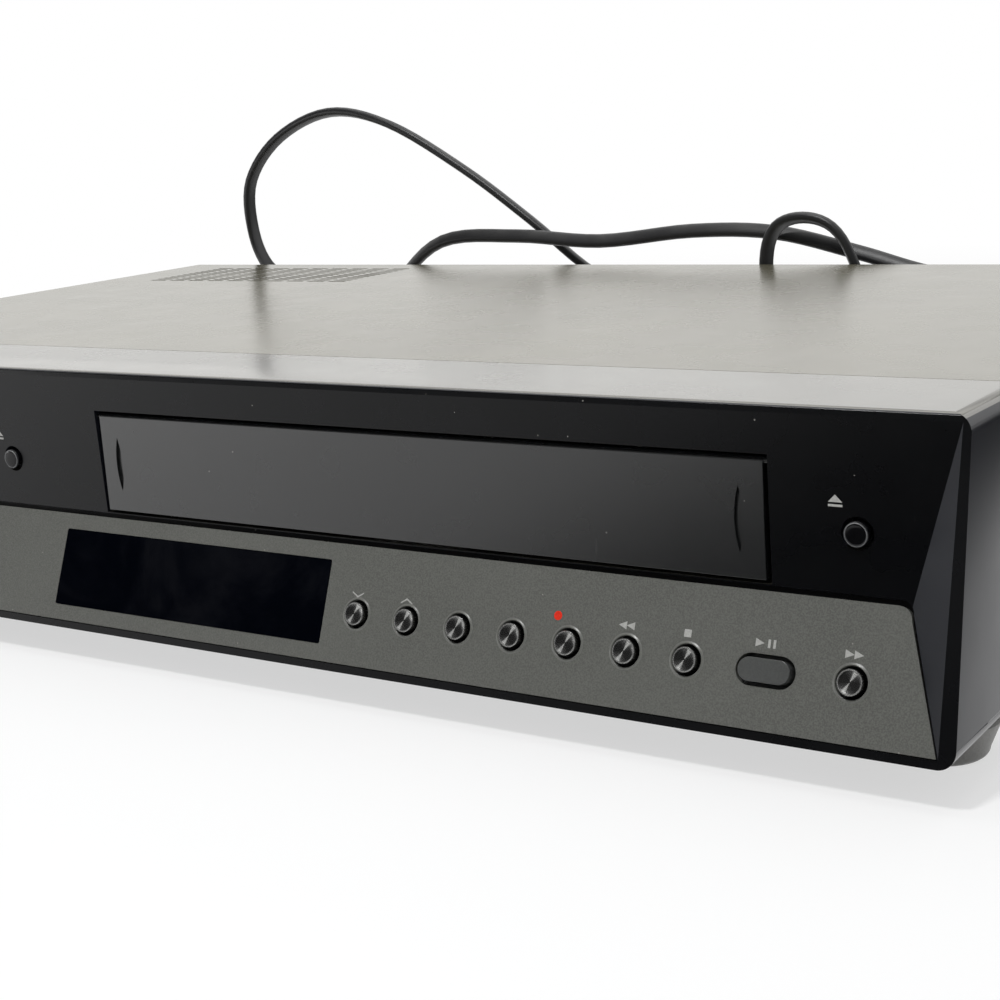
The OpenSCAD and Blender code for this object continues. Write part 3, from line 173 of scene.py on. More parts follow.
class Value:
    """A shader value that takes Python arithmetic."""

    def __init__(self, finish, socket):
        self.finish, self.socket = finish, socket

    def math(self, operation, *values):
        return self.finish.node("Math", {"operation": operation}, dict(enumerate(values)))

    def __add__(self, other):
        return self.math("ADD", self, other)

    def __sub__(self, other):
        return self.math("SUBTRACT", self, other)

    def __rsub__(self, other):
        return self.math("SUBTRACT", other, self)

    def __mul__(self, other):
        return self.math("MULTIPLY", self, other)

    def __truediv__(self, other):
        return self.math("DIVIDE", self, other)

    def __gt__(self, other):
        return self.math("GREATER_THAN", self, other)

    def __lt__(self, other):
        return self.math("LESS_THAN", self, other)

    __radd__ = __add__
    __rmul__ = __mul__


class Finish:
    """One procedural material on the principled shader."""

    def __init__(self, name, **fixed):
        self.material = bpy.data.materials.new(name)
        self.material.use_nodes = True
        self.tree = self.material.node_tree
        self.shader = self.tree.nodes["Principled BSDF"]
        for socket, value in fixed.items():
            self.set(socket.replace("_", " "), value)

    def node(self, kind, settings=None, inputs=None, output=0):
        """Adds a node of any type: its settings first, then the values or links of its sockets."""
        node = self.tree.nodes.new("ShaderNode" + kind)
        for key, value in (settings or {}).items():
            setattr(node, key, value)
        for key, value in (inputs or {}).items():
            self.feed(node.inputs[key], value)
        return Value(self, node.outputs[output])

    def feed(self, socket, value):
        if isinstance(value, Value):
            self.tree.links.new(value.socket, socket)
        elif socket.type == "RGBA" and len(value) == 3:
            socket.default_value = (*value, 1)
        else:
            socket.default_value = value

    def set(self, socket, value):
        self.feed(self.shader.inputs[socket], value)
        return self

    @property
    def place(self):
        return self.node("TexCoord", output="Object")

    def turned(self, scale=(1, 1, 1), turn=(0, 0, 0), at=None):
        return self.node("Mapping", inputs={
            "Vector": at or self.place, "Rotation": turn, "Scale": scale})

    def axis(self, name, at=None):
        return self.node("SeparateXYZ", inputs={0: at or self.place}, output=name)

    def noise(self, scale, detail=2.0, at=None, rough=0.5, twist=0.0):
        return self.node("TexNoise", inputs={
            "Vector": at or self.place, "Scale": scale, "Detail": detail,
            "Roughness": rough, "Distortion": twist})

    def step(self, value, low, high, out_low=0.0, out_high=1.0):
        """A soft step from low to high."""
        return self.node("MapRange", {"interpolation_type": "SMOOTHSTEP"}, {
            0: value, 1: low, 2: high, 3: out_low, 4: out_high})

    def mix(self, factor, a, b):
        return self.node("Mix", {"data_type": "RGBA"}, {0: factor, 6: a, 7: b}, output=2)

    def bump(self, height, depth, strength=1.0):
        return self.node("Bump", inputs={"Height": height, "Distance": depth, "Strength": strength})

    def facing_up(self, low=0.55, high=0.95):
        normal = self.node("NewGeometry", output="Normal")
        return self.step(self.axis("Z", normal), low, high)

    def specks(self, scale, share, size):
        """Small specks of dust, on a share of the cells."""
        cells = self.node("TexVoronoi", inputs={"Vector": self.place, "Scale": scale})
        tint = self.node("TexVoronoi", inputs={"Vector": self.place, "Scale": scale}, output="Color")
        return (cells < size) * (self.axis("X", tint) > 1 - share)

    def hairlines(self, scale, turn, share):
        """Short fine scratches that run one way."""
        at = self.turned(scale=(scale * 2.2, scale * 0.14, scale * 0.14), turn=turn)
        lines = self.step(self.noise(1.0, 1.0, at), 0.70, 0.76)
        return lines * self.step(self.noise(38.0, 2.0), 0.6 + 0.15 * (1 - share), 0.75)


def shade(colour, factor):
    return tuple(min(1.0, c * factor) for c in colour)


DUST = (0.36, 0.35, 0.32)
MASK_TOP = 0.0156


def moulded(name, colour, rough=0.42, gloss=0.35, grain=2400.0, depth=1.2e-5, patches=0.12,
            dust=0.0, specks=0.0, hairlines=0.0, rough_swing=0.1, coat=0.0, warm=False, flecks=0.35):
    """Injection moulded or painted skin: fine grain, soft cloudy patches, dust and hairlines.

    flecks is how far the grain tints the colour, and warm gives the gloss a warm tint."""
    f = Finish(name, Specular_IOR_Level=gloss, Coat_Weight=coat, Coat_Roughness=rough)
    if warm:
        f.set("Specular Tint", (1.0, 0.975, 0.91)).set("Coat Tint", (1.0, 0.985, 0.94))
    clouds, fine = f.noise(22.0, 4.0), f.noise(grain, 2.0)
    tint = f.mix(f.step(clouds, 0.32, 0.68), shade(colour, 1 - patches), shade(colour, 1 + patches))
    tint = f.mix(f.step(fine, 0.3, 0.7) * flecks, tint, shade(colour, 1.5))
    worn = rough + rough_swing * (f.noise(75.0, 5.0) - 0.5) * 2
    if dust:
        film = f.facing_up() * f.step(f.noise(40.0, 6.0, rough=0.65), 0.35, 0.8) * dust
        tint, worn = f.mix(film, tint, DUST), worn + film * 0.4
    if specks:
        dots = f.specks(240.0, specks, 0.042)
        tint, worn = f.mix(dots * 0.55, tint, DUST), worn + dots * 0.3
    if hairlines:
        lines = f.hairlines(900.0, (0, 0, 0.4), hairlines)
        tint, worn = f.mix(lines * 0.09, tint, DUST), worn + lines * 0.1
    f.set("Base Color", tint).set("Roughness", worn).set("Normal", f.bump(fine, depth))
    return f.material


def sheet_metal(name, colour, rough=0.34, lines=(3.0, 900.0, 900.0), stain=0.12):
    """Rolled or plated metal: faint lines along the roll, cloudy plating and handling marks."""
    f = Finish(name, Metallic=1.0)
    roll = f.noise(1.0, 3.0, f.turned(scale=lines))
    clouds = f.noise(34.0, 5.0, rough=0.6)
    tint = f.mix(f.step(clouds, 0.3, 0.72), shade(colour, 1 - stain),
                 (colour[0] * 1.06, colour[1] * 1.05, colour[2]))
    tint = f.mix(f.step(roll, 0.35, 0.75) * 0.22, tint, shade(colour, 0.72))
    f.set("Base Color", tint)
    f.set("Roughness", rough + 0.12 * (clouds - 0.5) + 0.14 * (roll - 0.5))
    return f.set("Normal", f.bump(roll, 2e-6, 0.6)).material


def turned_metal(name, colour, rough=0.22):
    """Turned metal, with the fine marks of the tool around it."""
    f = Finish(name, Metallic=1.0)
    marks, clouds = f.noise(1.0, 2.0, f.turned(scale=(40, 40, 9000))), f.noise(120.0, 3.0)
    f.set("Base Color", f.mix(f.step(clouds, 0.3, 0.7), shade(colour, 0.9), colour))
    f.set("Roughness", rough + 0.1 * (marks - 0.5) + 0.08 * (clouds - 0.5))
    return f.set("Normal", f.bump(marks, 1.5e-6, 0.7)).material


def spun_cap(name, colour, highlight_colour, rings=9.0, angle=62):
    """Dark cap faced on a lathe: rings about its axis, with painted highlights from UVs: a bright sheaf
    across the rings and a bright bead near the rim.
    """
    f = Finish(name)
    at = f.node("UVMap")
    reach = f.node("VectorMath", {"operation": "LENGTH"}, {0: at}, output="Value")
    along = f.axis("X", f.turned(at=at, turn=(0, 0, -radians(angle))))
    spread = along.math("ABSOLUTE", along) / reach
    # Painted highlight: a bright sheaf across the rings and a bright bead near the rim, mixed into the
    # colour and the metallic.
    painted_sheaf_highlight = f.step(spread, 0.94, 0.999) * 0.85 + f.step(spread, 0.5, 0.97) * 0.15
    painted_sheaf_highlight = painted_sheaf_highlight * f.step(reach, 0.9, 0.8)
    wave = reach.math("SINE", reach * (rings * tau))
    painted_bead_highlight = f.step(reach, 0.82, 0.9) * f.step(reach, 1.0, 0.94)
    tint = f.mix(painted_sheaf_highlight, colour, highlight_colour)
    tint = f.mix(painted_bead_highlight * 0.6, f.mix(wave * 0.2 + 0.2, tint, shade(colour, 0.5)), highlight_colour)
    f.set("Base Color", tint).set("Metallic", 1 - painted_sheaf_highlight * 0.6 - painted_bead_highlight * 0.3)
    f.set("Roughness", 0.22 + f.noise(9.0, 3.0, at) * 0.1)
    return f.set("Normal", f.bump(wave, 3e-6, 0.8)).material


def glass_black(name, colour, rough=0.05, smear=0.1, gloss=0.5):
    """Polished plate or cap, with faint smears."""
    f = Finish(name, Specular_IOR_Level=gloss)
    smears = f.step(f.noise(30.0, 6.0, rough=0.62, twist=0.8), 0.45, 0.8)
    dots = f.specks(260.0, 0.05, 0.06)
    f.set("Base Color", f.mix(dots * 0.5, f.mix(smears * smear, colour, (0.05, 0.05, 0.055)), DUST))
    f.set("Roughness", rough + smears * 0.07 + dots * 0.4)
    return f.set("Normal", f.bump(f.noise(90.0, 2.0), 4e-6, 0.5)).material


def printed(name, colour):
    """Screen printed ink, slightly uneven."""
    f = Finish(name, Roughness=0.6, Specular_IOR_Level=0.15)
    uneven = f.noise(2200.0, 2.0)
    f.set("Base Color", f.mix(f.step(uneven, 0.35, 0.7), shade(colour, 0.86), colour))
    return f.set("Normal", f.bump(uneven, 4e-6)).material


def sheath(name, colour):
    """Flexible sheath with a soft sheen, fine flow lines and a little dust."""
    f = Finish(name, Specular_IOR_Level=0.5)
    fine, clouds = f.noise(900.0, 3.0), f.noise(55.0, 4.0)
    dusty = f.facing_up(0.2, 0.9) * f.step(clouds, 0.4, 0.75) * 0.12
    f.set("Base Color", f.mix(dusty, f.mix(clouds, shade(colour, 0.8), shade(colour, 1.25)), DUST))
    f.set("Roughness", 0.3 + clouds * 0.16 + fine * 0.06)
    return f.set("Normal", f.bump(fine, 1.4e-5, 0.7)).material


def circuit_board(name, mask, foil):
    """Solder mask with its tracks under it, as far up as MASK_TOP; all that is higher is dark."""
    f = Finish(name, Specular_IOR_Level=0.5)
    cells = f.node("TexVoronoi", {"feature": "DISTANCE_TO_EDGE", "distance": "CHEBYCHEV"},
                   {"Vector": f.place, "Scale": 190.0})
    tracks = cells < 0.09
    pads = f.node("TexVoronoi", inputs={"Vector": f.place, "Scale": 330.0}) < 0.16
    tall = f.step(f.axis("Z"), MASK_TOP + 0.0002, MASK_TOP + 0.0004)
    part = f.mix(f.noise(300.0, 2.0), (0.014, 0.0145, 0.0155), (0.034, 0.035, 0.037))
    board = f.mix(pads, f.mix(tracks * 0.7, mask, foil), (0.6, 0.6, 0.58))
    f.set("Base Color", f.mix(tall, board, part))
    f.set("Roughness", 0.32 + f.noise(160.0, 3.0) * 0.25)
    return f.set("Normal", f.bump(tracks, 3e-5, 0.5)).material


def rubber(name, colour):
    """Moulded rubber, dull with a powdery bloom."""
    f = Finish(name, Specular_IOR_Level=0.3)
    bloom = f.step(f.noise(60.0, 5.0, rough=0.6), 0.4, 0.75)
    f.set("Base Color", f.mix(bloom * 0.35, colour, shade(colour, 3.0)))
    f.set("Roughness", 0.62 + bloom * 0.22)
    return f.set("Normal", f.bump(f.noise(1300.0, 3.0), 2.5e-5)).material


FINISHES = {}


def finishes():
    """The materials, by the record's slot. They are made once."""
    if FINISHES:
        return FINISHES
    c = bpy.context.scene.player_colours
    cover, bezel, trim, door = tuple(c.cover), tuple(c.bezel), tuple(c.trim), tuple(c.door)
    FINISHES.update({
        "cover_steel": moulded("Cover Paint", cover, 0.26, 0.8, 1500.0, 1.4e-5, 0.1, dust=0.07,
                               specks=0.05, hairlines=0.4, rough_swing=0.04, coat=0.5, warm=True),
        "bezel_plastic": moulded("Front Moulding", bezel, 0.28, 0.34, 3000.0, 4e-6, 0.15,
                                 specks=0.45, hairlines=0.6, rough_swing=0.06),
        # Painted light: lighter, glossier copies of the front moulding, one for faces that look up and
        # one for faces that look sideways and the rounded edges.
        "bezel_top_painted_sheen": moulded("Front Moulding Top Painted Sheen", (0.0112, 0.0108, 0.0088), 0.24, 0.9, 3000.0,
                               5e-6, 0.12, dust=0.16, specks=0.2, hairlines=0.4, rough_swing=0.04,
                               coat=1.0, warm=True),
        "bezel_side_painted_light": moulded("Front Moulding Facets Painted Light", shade(bezel, 5.2), 0.34, 0.4, 3000.0, 5e-6,
                               0.12, specks=0.12, hairlines=0.4, rough_swing=0.05),
        "trim_grey": moulded("Lower Panel Paint", trim, 0.48, 0.3, 2700.0, 2e-5, 0.06,
                             specks=0.2, hairlines=0.4, rough_swing=0.05, flecks=0.8),
        # Painted highlight: the raised lips round the button holes take a lighter, glossier copy of the
        # lower panel paint.
        "lip_painted_highlight": moulded("Hole Lip Painted Highlight", shade(trim, 1.35), 0.34, 0.6, 2700.0, 6e-6, 0.06),
        # Painted highlight: light grey for the thin ring at the edge of each near-black gloss cap.
        "cap_edge_painted_highlight": moulded("Gloss Cap Edge Painted Highlight", (0.16, 0.162, 0.165), 0.25, 0.6, 2600.0, 3e-6, 0.08),
        "door_plastic": moulded("Door Moulding", door, 0.26, 0.8, 3000.0, 5e-6, 0.08,
                                specks=0.35, hairlines=0.5, rough_swing=0.05, coat=0.9),
        "window": glass_black("Window Tint", tuple(c.window), gloss=0.02),
        "satin_cap": moulded("Satin Cap", (0.066, 0.068, 0.066), 0.32, 0.45, 2600.0, 5e-6, 0.08,
                             specks=0.05),
        "steel": sheet_metal("Zinc Plated Sheet", (0.56, 0.57, 0.57)),
        "panel_black": moulded("Rear Paint", (0.022, 0.022, 0.023), 0.45, 0.45, 1700.0, 2.2e-5,
                               dust=0.15),
        "foot": moulded("Foot Moulding", (0.17, 0.168, 0.16), 0.5, 0.4, 1900.0, 1.4e-5, dust=0.1),
        "screw": sheet_metal("Blackened Screw", (0.08, 0.08, 0.08), 0.4, (300.0, 300.0, 300.0)),
        "cap_metal": turned_metal("Dark Cap Metal", (0.2, 0.2, 0.195), 0.3),
        "cap_black": glass_black("Gloss Cap", (0.003, 0.003, 0.0035), 0.05, 0.03, 0.35),
        "black_plastic": moulded("Inner Moulding", (0.02, 0.0205, 0.022), 0.5, 0.4, 1500.0, 1.6e-5,
                                 dust=0.06),
        "white_plastic": moulded("Natural Moulding", (0.72, 0.7, 0.62), 0.45, 0.5, 1200.0, 1e-5, 0.05),
        "plated": sheet_metal("Bright Plating", (0.72, 0.73, 0.74), 0.16, (60.0, 60.0, 60.0), 0.06),
        "aluminium": turned_metal("Turned Aluminium", (0.74, 0.75, 0.76)),
        "brass": turned_metal("Sintered Bronze", (0.6, 0.42, 0.2), 0.36),
        "rubber": rubber("Drive Rubber", (0.018, 0.018, 0.019)),
        "board_green": circuit_board("Green Board", (0.012, 0.075, 0.034), (0.03, 0.13, 0.05)),
        "board_brown": circuit_board("Paper Board", (0.22, 0.12, 0.045), (0.3, 0.18, 0.08)),
        "cord_black": sheath("Lead Sheath", tuple(c.lead)),
        "pickup_dark": moulded("Pickup Moulding", (0.05, 0.051, 0.054), 0.42, 0.4, 1300.0, 1.2e-5),
        "spun": spun_cap("Spun Cap", (0.17, 0.17, 0.168), (0.62, 0.62, 0.6)),
        "ink": printed("Light Ink", tuple(c.printing)),
        "red_ink": printed("Record Ink", tuple(c.record)),
    })
    return FINISHES


def paint(nodes, slot):
    """Gives CAD nodes a finish."""
    for name in nodes:
        o = NODES[name]
        if o.material_slots:
            for place in o.material_slots:
                place.material = finishes()[slot]
        else:
            o.data.materials.append(finishes()[slot])


# ---------------------------------------------------------------- building pieces


def merged(node):
    """A CAD node's shape with its loose triangles merged into plain faces."""
    bm = bmesh.new()
    bm.from_mesh(NODES[node].data)
    bmesh.ops.remove_doubles(bm, verts=bm.verts, dist=2e-6)
    bmesh.ops.dissolve_limit(bm, angle_limit=radians(0.05), verts=bm.verts, edges=bm.edges)
    return bm


def turned(outline, steps):
    """A turned shape about Z, from pairs of radius and height.

    They run from axis to axis, or round a ring's section back to the first pair."""
    bm = bmesh.new()
    verts = [bm.verts.new((r * MM, 0, h * MM)) for r, h in outline]
    edges = [bm.edges.new(pair) for pair in zip(verts, verts[1:])]
    bmesh.ops.spin(bm, geom=verts + edges, cent=(0, 0, 0), axis=(0, 0, 1), angle=tau,
                   steps=steps, use_merge=True)
    bmesh.ops.remove_doubles(bm, verts=bm.verts, dist=1e-7)
    bmesh.ops.recalc_face_normals(bm, faces=bm.faces)
    return bm


def prism(corners, height):
    """A flat shape with straight sides, from the corners of its outline."""
    bm = bmesh.new()
    face = bm.faces.new([bm.verts.new((x * MM, y * MM, 0)) for x, y in corners])
    raised = bmesh.ops.extrude_face_region(bm, geom=[face])["geom"]
    bmesh.ops.translate(bm, verts=[v for v in raised if isinstance(v, bmesh.types.BMVert)],
                        vec=(0, 0, height))
    bmesh.ops.recalc_face_normals(bm, faces=bm.faces)
    return bm


def mapped(bm, size):
    """Adds a UV map of the shape's own X and Y, measured in size."""
    layer = bm.loops.layers.uv.new("UVMap")
    for face in bm.faces:
        for corner in face.loops:
            corner[layer].uv = corner.vert.co.xy / size
    return bm


def gather(name, parts, materials, body, sharp=32.0):
    """Joins bmeshes into one object on a body. Each part is (bmesh, place, material number).

    Edges that turn by more than sharp degrees are shaded sharp."""
    out = bmesh.new()
    out.loops.layers.uv.new("UVMap")
    for bm, place, number in parts:
        bmesh.ops.transform(bm, matrix=place, verts=bm.verts)
        for face in bm.faces:
            face.material_index = number
            face.smooth = True
        mesh = bpy.data.meshes.new("part")
        bm.to_mesh(mesh)
        bm.free()
        out.from_mesh(mesh)
        bpy.data.meshes.remove(mesh)
    mesh = bpy.data.meshes.new(name)
    out.to_mesh(mesh)
    out.free()
    mesh.set_sharp_from_angle(angle=radians(sharp))
    for material in materials:
        mesh.materials.append(material)
    o = bpy.data.objects.new(name, mesh)
    bpy.context.scene.collection.objects.link(o)
    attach(o, body)
    return o


def dressed(node, name, slot, width, segments=2, angle=30.0, extra=(), reach=4.0, sort=None, edges=0):
    """A merged copy of a CAD node with rounded edges, which stands for the node.

    Only edges longer than reach, in millimetres, are rounded. sort gives a face's material number
    from its normal, and edges is the material number of the rounded edges."""
    bm = merged(node)
    numbers = [sort(face.normal) if sort else 0 for face in bm.faces]
    curved = [len(face.verts) < 12 and any(
        len(e.link_faces) == 2 and radians(0.3) < e.calc_face_angle() < radians(16)
        for e in face.edges) for face in bm.faces]
    materials = [finishes()[slot]] + [finishes()[m] for m in extra]
    o = gather(name, [(bm, Matrix(), 0)], materials, NODES[node]["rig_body"])
    bm = bmesh.new()
    bm.from_mesh(o.data)
    weight = bm.edges.layers.float.new("bevel_weight_edge")
    for face, number, smooth in zip(bm.faces, numbers, curved):
        face.material_index, face.smooth = number, smooth
    for edge in bm.edges:
        if len(edge.link_faces) == 2 and edge.calc_length() > reach * MM:
            edge[weight] = edge.calc_face_angle() > radians(angle)
    bm.to_mesh(o.data)
    bm.free()
    bevel = o.modifiers.new("Edges", "BEVEL")
    bevel.width, bevel.segments, bevel.limit_method = width, segments, "WEIGHT"
    bevel.profile, bevel.harden_normals, bevel.material = 0.5, True, edges
    bevel.use_clamp_overlap = True
    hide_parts(node)
    return o


class PlayerStep:
    """What the piece operators share."""

    bl_options = {"REGISTER", "UNDO"}

    @property
    def sizes(self):
        return bpy.context.scene.player_sizes


# ---------------------------------------------------------------- mains lead

# Where the lead leaves the rear panel, across it and up it
LEAD_X, LEAD_Z = -170, 20

LEAD_POINTS = (
    (LEAD_X, 273, LEAD_Z), (-170.4, 284, 20.6), (-175, 295, 27), (-186, 298, 40), (-193.5, 285, 54),
    (-191.5, 264.5, 66.5), (-186.5, 251.5, 84), (-182.5, 249, 104), (-166, 250, 121),
    (-138, 250, 130), (-109, 251, 124), (-76, 254, 105), (-48, 256, 85), (-22, 259.5, 64),
    (2, 263.5, 55), (22, 268, 38), (40, 274.5, 14), (68, 280.5, -2), (110, 285, -5.3),
    (153, 281, 1), (174, 270, 20), (166, 261, 45), (145, 256.5, 61), (114, 255, 64.5),
    (87, 254.3, 72), (56, 254, 79.2), (24, 252.5, 80.2), (-14, 250.7, 77), (-50, 249.5, 79.3),
    (-86, 249.5, 77.5), (-114, 254, 59), (-143, 262, 35), (-154, 271, 10), (-130, 277, -4.5),
    (-42, 268, -5.2), (34, 259, -4), (55, 254.5, 20), (55, 248, 62), (58.5, 247.4, 80),
    (70, 247.4, 84.8), (82.5, 247.6, 79.5), (91, 249, 60), (97, 255, 27), (114, 262, 0),
    (146, 264, -3),
)


def lead_line(steps=6):
    """The lead's centreline: one smooth curve through its points."""
    points = [housing(*p) for p in LEAD_POINTS]
    line = []
    for i in range(len(points) - 1):
        before, a, b, after = (points[max(i - 1, 0)], points[i], points[i + 1],
                               points[min(i + 2, len(points) - 1)])
        line += interpolate_bezier(a, a + (b - before) / 6, b - (after - a) / 6, b, steps + 1)[:-1]
    return line + [points[-1]]


class PLAYER_OT_mains_lead(PlayerStep, bpy.types.Operator):
    """Makes the flat twin mains lead, its ribbed relief and its two-pin plug"""

    bl_idname = "player.mains_lead"
    bl_label = "Mains Lead"

    def execute(self, context):
        line = lead_line()
        lead = gather("mains_lead", [(self.sweep(context, line), Matrix(), 0)],
                      [finishes()["cord_black"]], "housing")
        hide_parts("mains_cord")

        boot = turned(self.boot_outline(), self.sizes.turns)
        relief = gather("lead_relief", [(boot, on_rear(LEAD_X, LEAD_Z), 0)],
                        [finishes()["cord_black"]], "housing", 40)
        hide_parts("cord_relief")
        plug = self.plug(line[-1])
        length = sum((b - a).length for a, b in zip(line, line[1:]))
        return {"FINISHED"}

    def sweep(self, context, line):
        """The section of two joined cores, swept along the line."""
        half, thick = self.sizes.lead_width / 2, self.sizes.lead_thickness / 2
        section = bpy.data.curves.new("section", "CURVE")
        section.dimensions = "2D"
        ring = section.splines.new("POLY")
        lobe = half - thick
        corners = [(side * lobe + thick * cos(a), thick * sin(a))
                   for side, start in ((1, -75), (-1, 105))
                   for a in [radians(start + 150 * k / 7) for k in range(8)]]
        ring.points.add(len(corners) - 1)
        for point, (x, y) in zip(ring.points, corners):
            point.co = (x, y, 0, 1)
        ring.use_cyclic_u = True
        outline = bpy.data.objects.new("section", section)
        curve = bpy.data.curves.new("lead", "CURVE")
        curve.dimensions = "3D"
        curve.bevel_mode, curve.bevel_object, curve.use_fill_caps = "OBJECT", outline, True
        curve.twist_mode, curve.twist_smooth = "MINIMUM", 0
        spline = curve.splines.new("POLY")
        spline.points.add(len(line) - 1)
        for point, place in zip(spline.points, line):
            point.co = (*place, 1)
        route = bpy.data.objects.new("lead", curve)
        for o in (outline, route):
            context.scene.collection.objects.link(o)
        context.view_layer.update()
        graph = context.evaluated_depsgraph_get()
        shape = bpy.data.meshes.new_from_object(route.evaluated_get(graph))
        for o in (outline, route):
            bpy.data.objects.remove(o)
        bm = bmesh.new()
        bm.from_mesh(shape)
        bmesh.ops.remove_doubles(bm, verts=bm.verts, dist=1e-6)
        bmesh.ops.recalc_face_normals(bm, faces=bm.faces)
        return bm

    def boot_outline(self):
        """Flange and ribbed taper of the relief, in millimetres from the panel."""
        outline = [(0, -4.6), (5.6, -4.6), (6.0, -4.2), (6.0, -2.0), (7.9, -1.9), (8.0, 0.0), (8.0, 1.6),
                   (7.6, 2.0), (6.2, 2.2)]
        for i in range(7):
            h = 3.0 + 3.9 * i
            r = 6.1 - 0.38 * i
            outline += [(r, h), (r - 0.1, h + 2.2), (r - 0.35, h + 2.5), (r - 1.25, h + 2.6),
                        (r - 1.3, h + 3.5), (r - 0.45, h + 3.7)]
        return outline + [(3.5, 29.2), (3.2, 29.6), (0, 29.7)]

    def plug(self, at):
        """Moulded plug with a ribbed neck and two flat blades, along X from the lead's end."""
        neck = turned([(0, 0.3), (3.0, 0.3), (3.3, 0.7), (3.6, 3.0), (3.2, 3.4), (3.25, 4.4),
                       (3.9, 4.8), (4.15, 7.0), (3.7, 7.4), (3.75, 8.4), (4.4, 8.8), (4.7, 11.4),
                       (4.9, 14.2), (0, 14.3)], self.sizes.turns)
        body = bmesh.new()
        bmesh.ops.create_cube(body, size=1.0, matrix=Matrix.Diagonal((11.9 * MM, 17.9 * MM, 22 * MM, 1)))
        bmesh.ops.translate(body, verts=body.verts, vec=(0, 0, 25 * MM))
        for v in body.verts:
            if v.co.z < 0.02:
                v.co.x, v.co.y = v.co.x * 0.82, v.co.y * 0.72
        bmesh.ops.bevel(body, geom=body.edges, offset=2.6 * MM, segments=5, profile=0.5,
                        affect="EDGES", material=-1)
        blades = []
        for side in (-1, 1):
            blade = bmesh.new()
            block = Matrix.Diagonal((6.3 * MM, 1.5 * MM, 17.5 * MM, 1))
            bmesh.ops.create_cube(blade, size=1.0, matrix=block)
            bmesh.ops.translate(blade, verts=blade.verts, vec=(0, side * 6.35 * MM, 44 * MM))
            bmesh.ops.bevel(blade, geom=blade.edges, offset=0.35 * MM, segments=2, profile=0.5,
                            affect="EDGES", material=-1)
            blades.append(blade)
        place = Matrix.Translation(at) @ Matrix.Rotation(radians(90), 4, "Y")
        parts = [(neck, place, 0), (body, place, 0), *[(b, place, 1) for b in blades]]
        plug = gather("lead_plug", parts, [finishes()["cord_black"], finishes()["plated"]],
                      "housing", 40)
        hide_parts("mains_plug")
        return plug


# ---------------------------------------------------------------- casing


class PLAYER_OT_cover(PlayerStep, bpy.types.Operator):
    """Dresses the folded cover and its screws"""

    bl_idname = "player.cover"
    bl_label = "Cover"

    def execute(self, context):
        dressed("top_cover", "folded_cover", "cover_steel", self.sizes.fold)
        paint(["cover_screws"], "screw")
        return {"FINISHED"}


class PLAYER_OT_front(PlayerStep, bpy.types.Operator):
    """Dresses the moulded front, its sloped lower panel and the display window"""

    bl_idname = "player.front"
    bl_label = "Front"

    def execute(self, context):
        # Painted light: faces looking up take a lighter, glossier copy of the moulding; all other faces
        # not facing straight ahead, and the rounded edges, a lighter copy.
        dressed("front_bezel", "front_moulding", "bezel_plastic", self.sizes.edge, 3,
                extra=["bezel_top_painted_sheen", "bezel_side_painted_light"],
                sort=lambda normal: 1 if normal.z > 0.7 else 2 if normal.y > -0.9 else 0, edges=2)
        dressed("lower_trim_panel", "lower_panel", "trim_grey", self.sizes.edge * 0.8)
        dressed("display_window", "window_plate", "window", self.sizes.edge * 0.8)
        paint(["display_module"], "black_plastic")
        return {"FINISHED"}


class PLAYER_OT_door(PlayerStep, bpy.types.Operator):
    """Dresses the cassette door"""

    bl_idname = "player.door"
    bl_label = "Cassette Door"

    def execute(self, context):
        dressed("cassette_door", "door_flap", "door_plastic", self.sizes.edge)
        return {"FINISHED"}


class PLAYER_OT_feet_and_rear(PlayerStep, bpy.types.Operator):
    """Dresses the feet, the rear panel, the chassis and the sockets"""

    bl_idname = "player.feet_and_rear"
    bl_label = "Feet and Rear"

    def execute(self, context):
        dressed("feet", "moulded_feet", "foot", self.sizes.edge * 1.6, 3)
        dressed("rear_panel", "rear_plate", "panel_black", self.sizes.fold)
        paint(["base_chassis"], "steel")
        paint(["chassis_screws", "antenna_jacks"], "plated")
        paint(["rear_jacks", "front_jacks"], "black_plastic")
        return {"FINISHED"}


# ---------------------------------------------------------------- buttons

# How far down the slope the lower row lies, and how high the two upper buttons are
ROW, TOP_ROW = -16.6, 43.2
GLOSS_BUTTONS = {"eject_button": 191.2, "tray_button": -58.2}
SLOPE_BUTTONS = {
    "power_button": -190.0, "select_down_button": 65.0, "select_up_button": 79.9,
    "source_button": 94.8, "output_button": 109.7, "record_button": 124.6,
    "rewind_button": 139.5, "stop_button": 154.4, "forward_button": 191.8,
}


class PLAYER_OT_spun_caps(PlayerStep, bpy.types.Operator):
    """Makes the round spun metal caps of the lower row and the raised lips of their holes"""

    bl_idname = "player.spun_caps"
    bl_label = "Spun Caps"

    def execute(self, context):
        r = self.sizes.cap_radius / MM
        lip = [(3.46, -0.9), (3.46, -0.02), (3.52, 0.12), (3.64, 0.19), (3.76, 0.18), (3.88, 0.08),
               (4.14, 0.0), (4.14, -0.3), (3.7, -0.9), (3.46, -0.9)]
        outline = [(0, -1.2), (r - 0.01, -1.2), (r, -1.1), (r, 1.0), (r - 0.05, 1.18), (r - 0.16, 1.28),
                   (r - 0.3, 1.3), (r - 0.42, 1.23), (r * 0.5, 1.17), (0, 1.12)]
        for node, x in SLOPE_BUTTONS.items():
            cap = mapped(turned(outline, self.sizes.turns), r * MM)
            o = gather(node + "_cap", [(merged(node), Matrix(), 0), (cap, on_slope(x, ROW), 1)],
                       [finishes()["black_plastic"], finishes()["spun"]], node)
            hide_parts(node)
        lips = [(turned(lip, self.sizes.turns), on_slope(x, ROW), 0) for x in SLOPE_BUTTONS.values()]
        # The lips carry a painted highlight: a lighter copy of the lower panel paint.
        gather("button_lips", lips, [finishes()["lip_painted_highlight"]], "housing", 60)
        return {"FINISHED"}


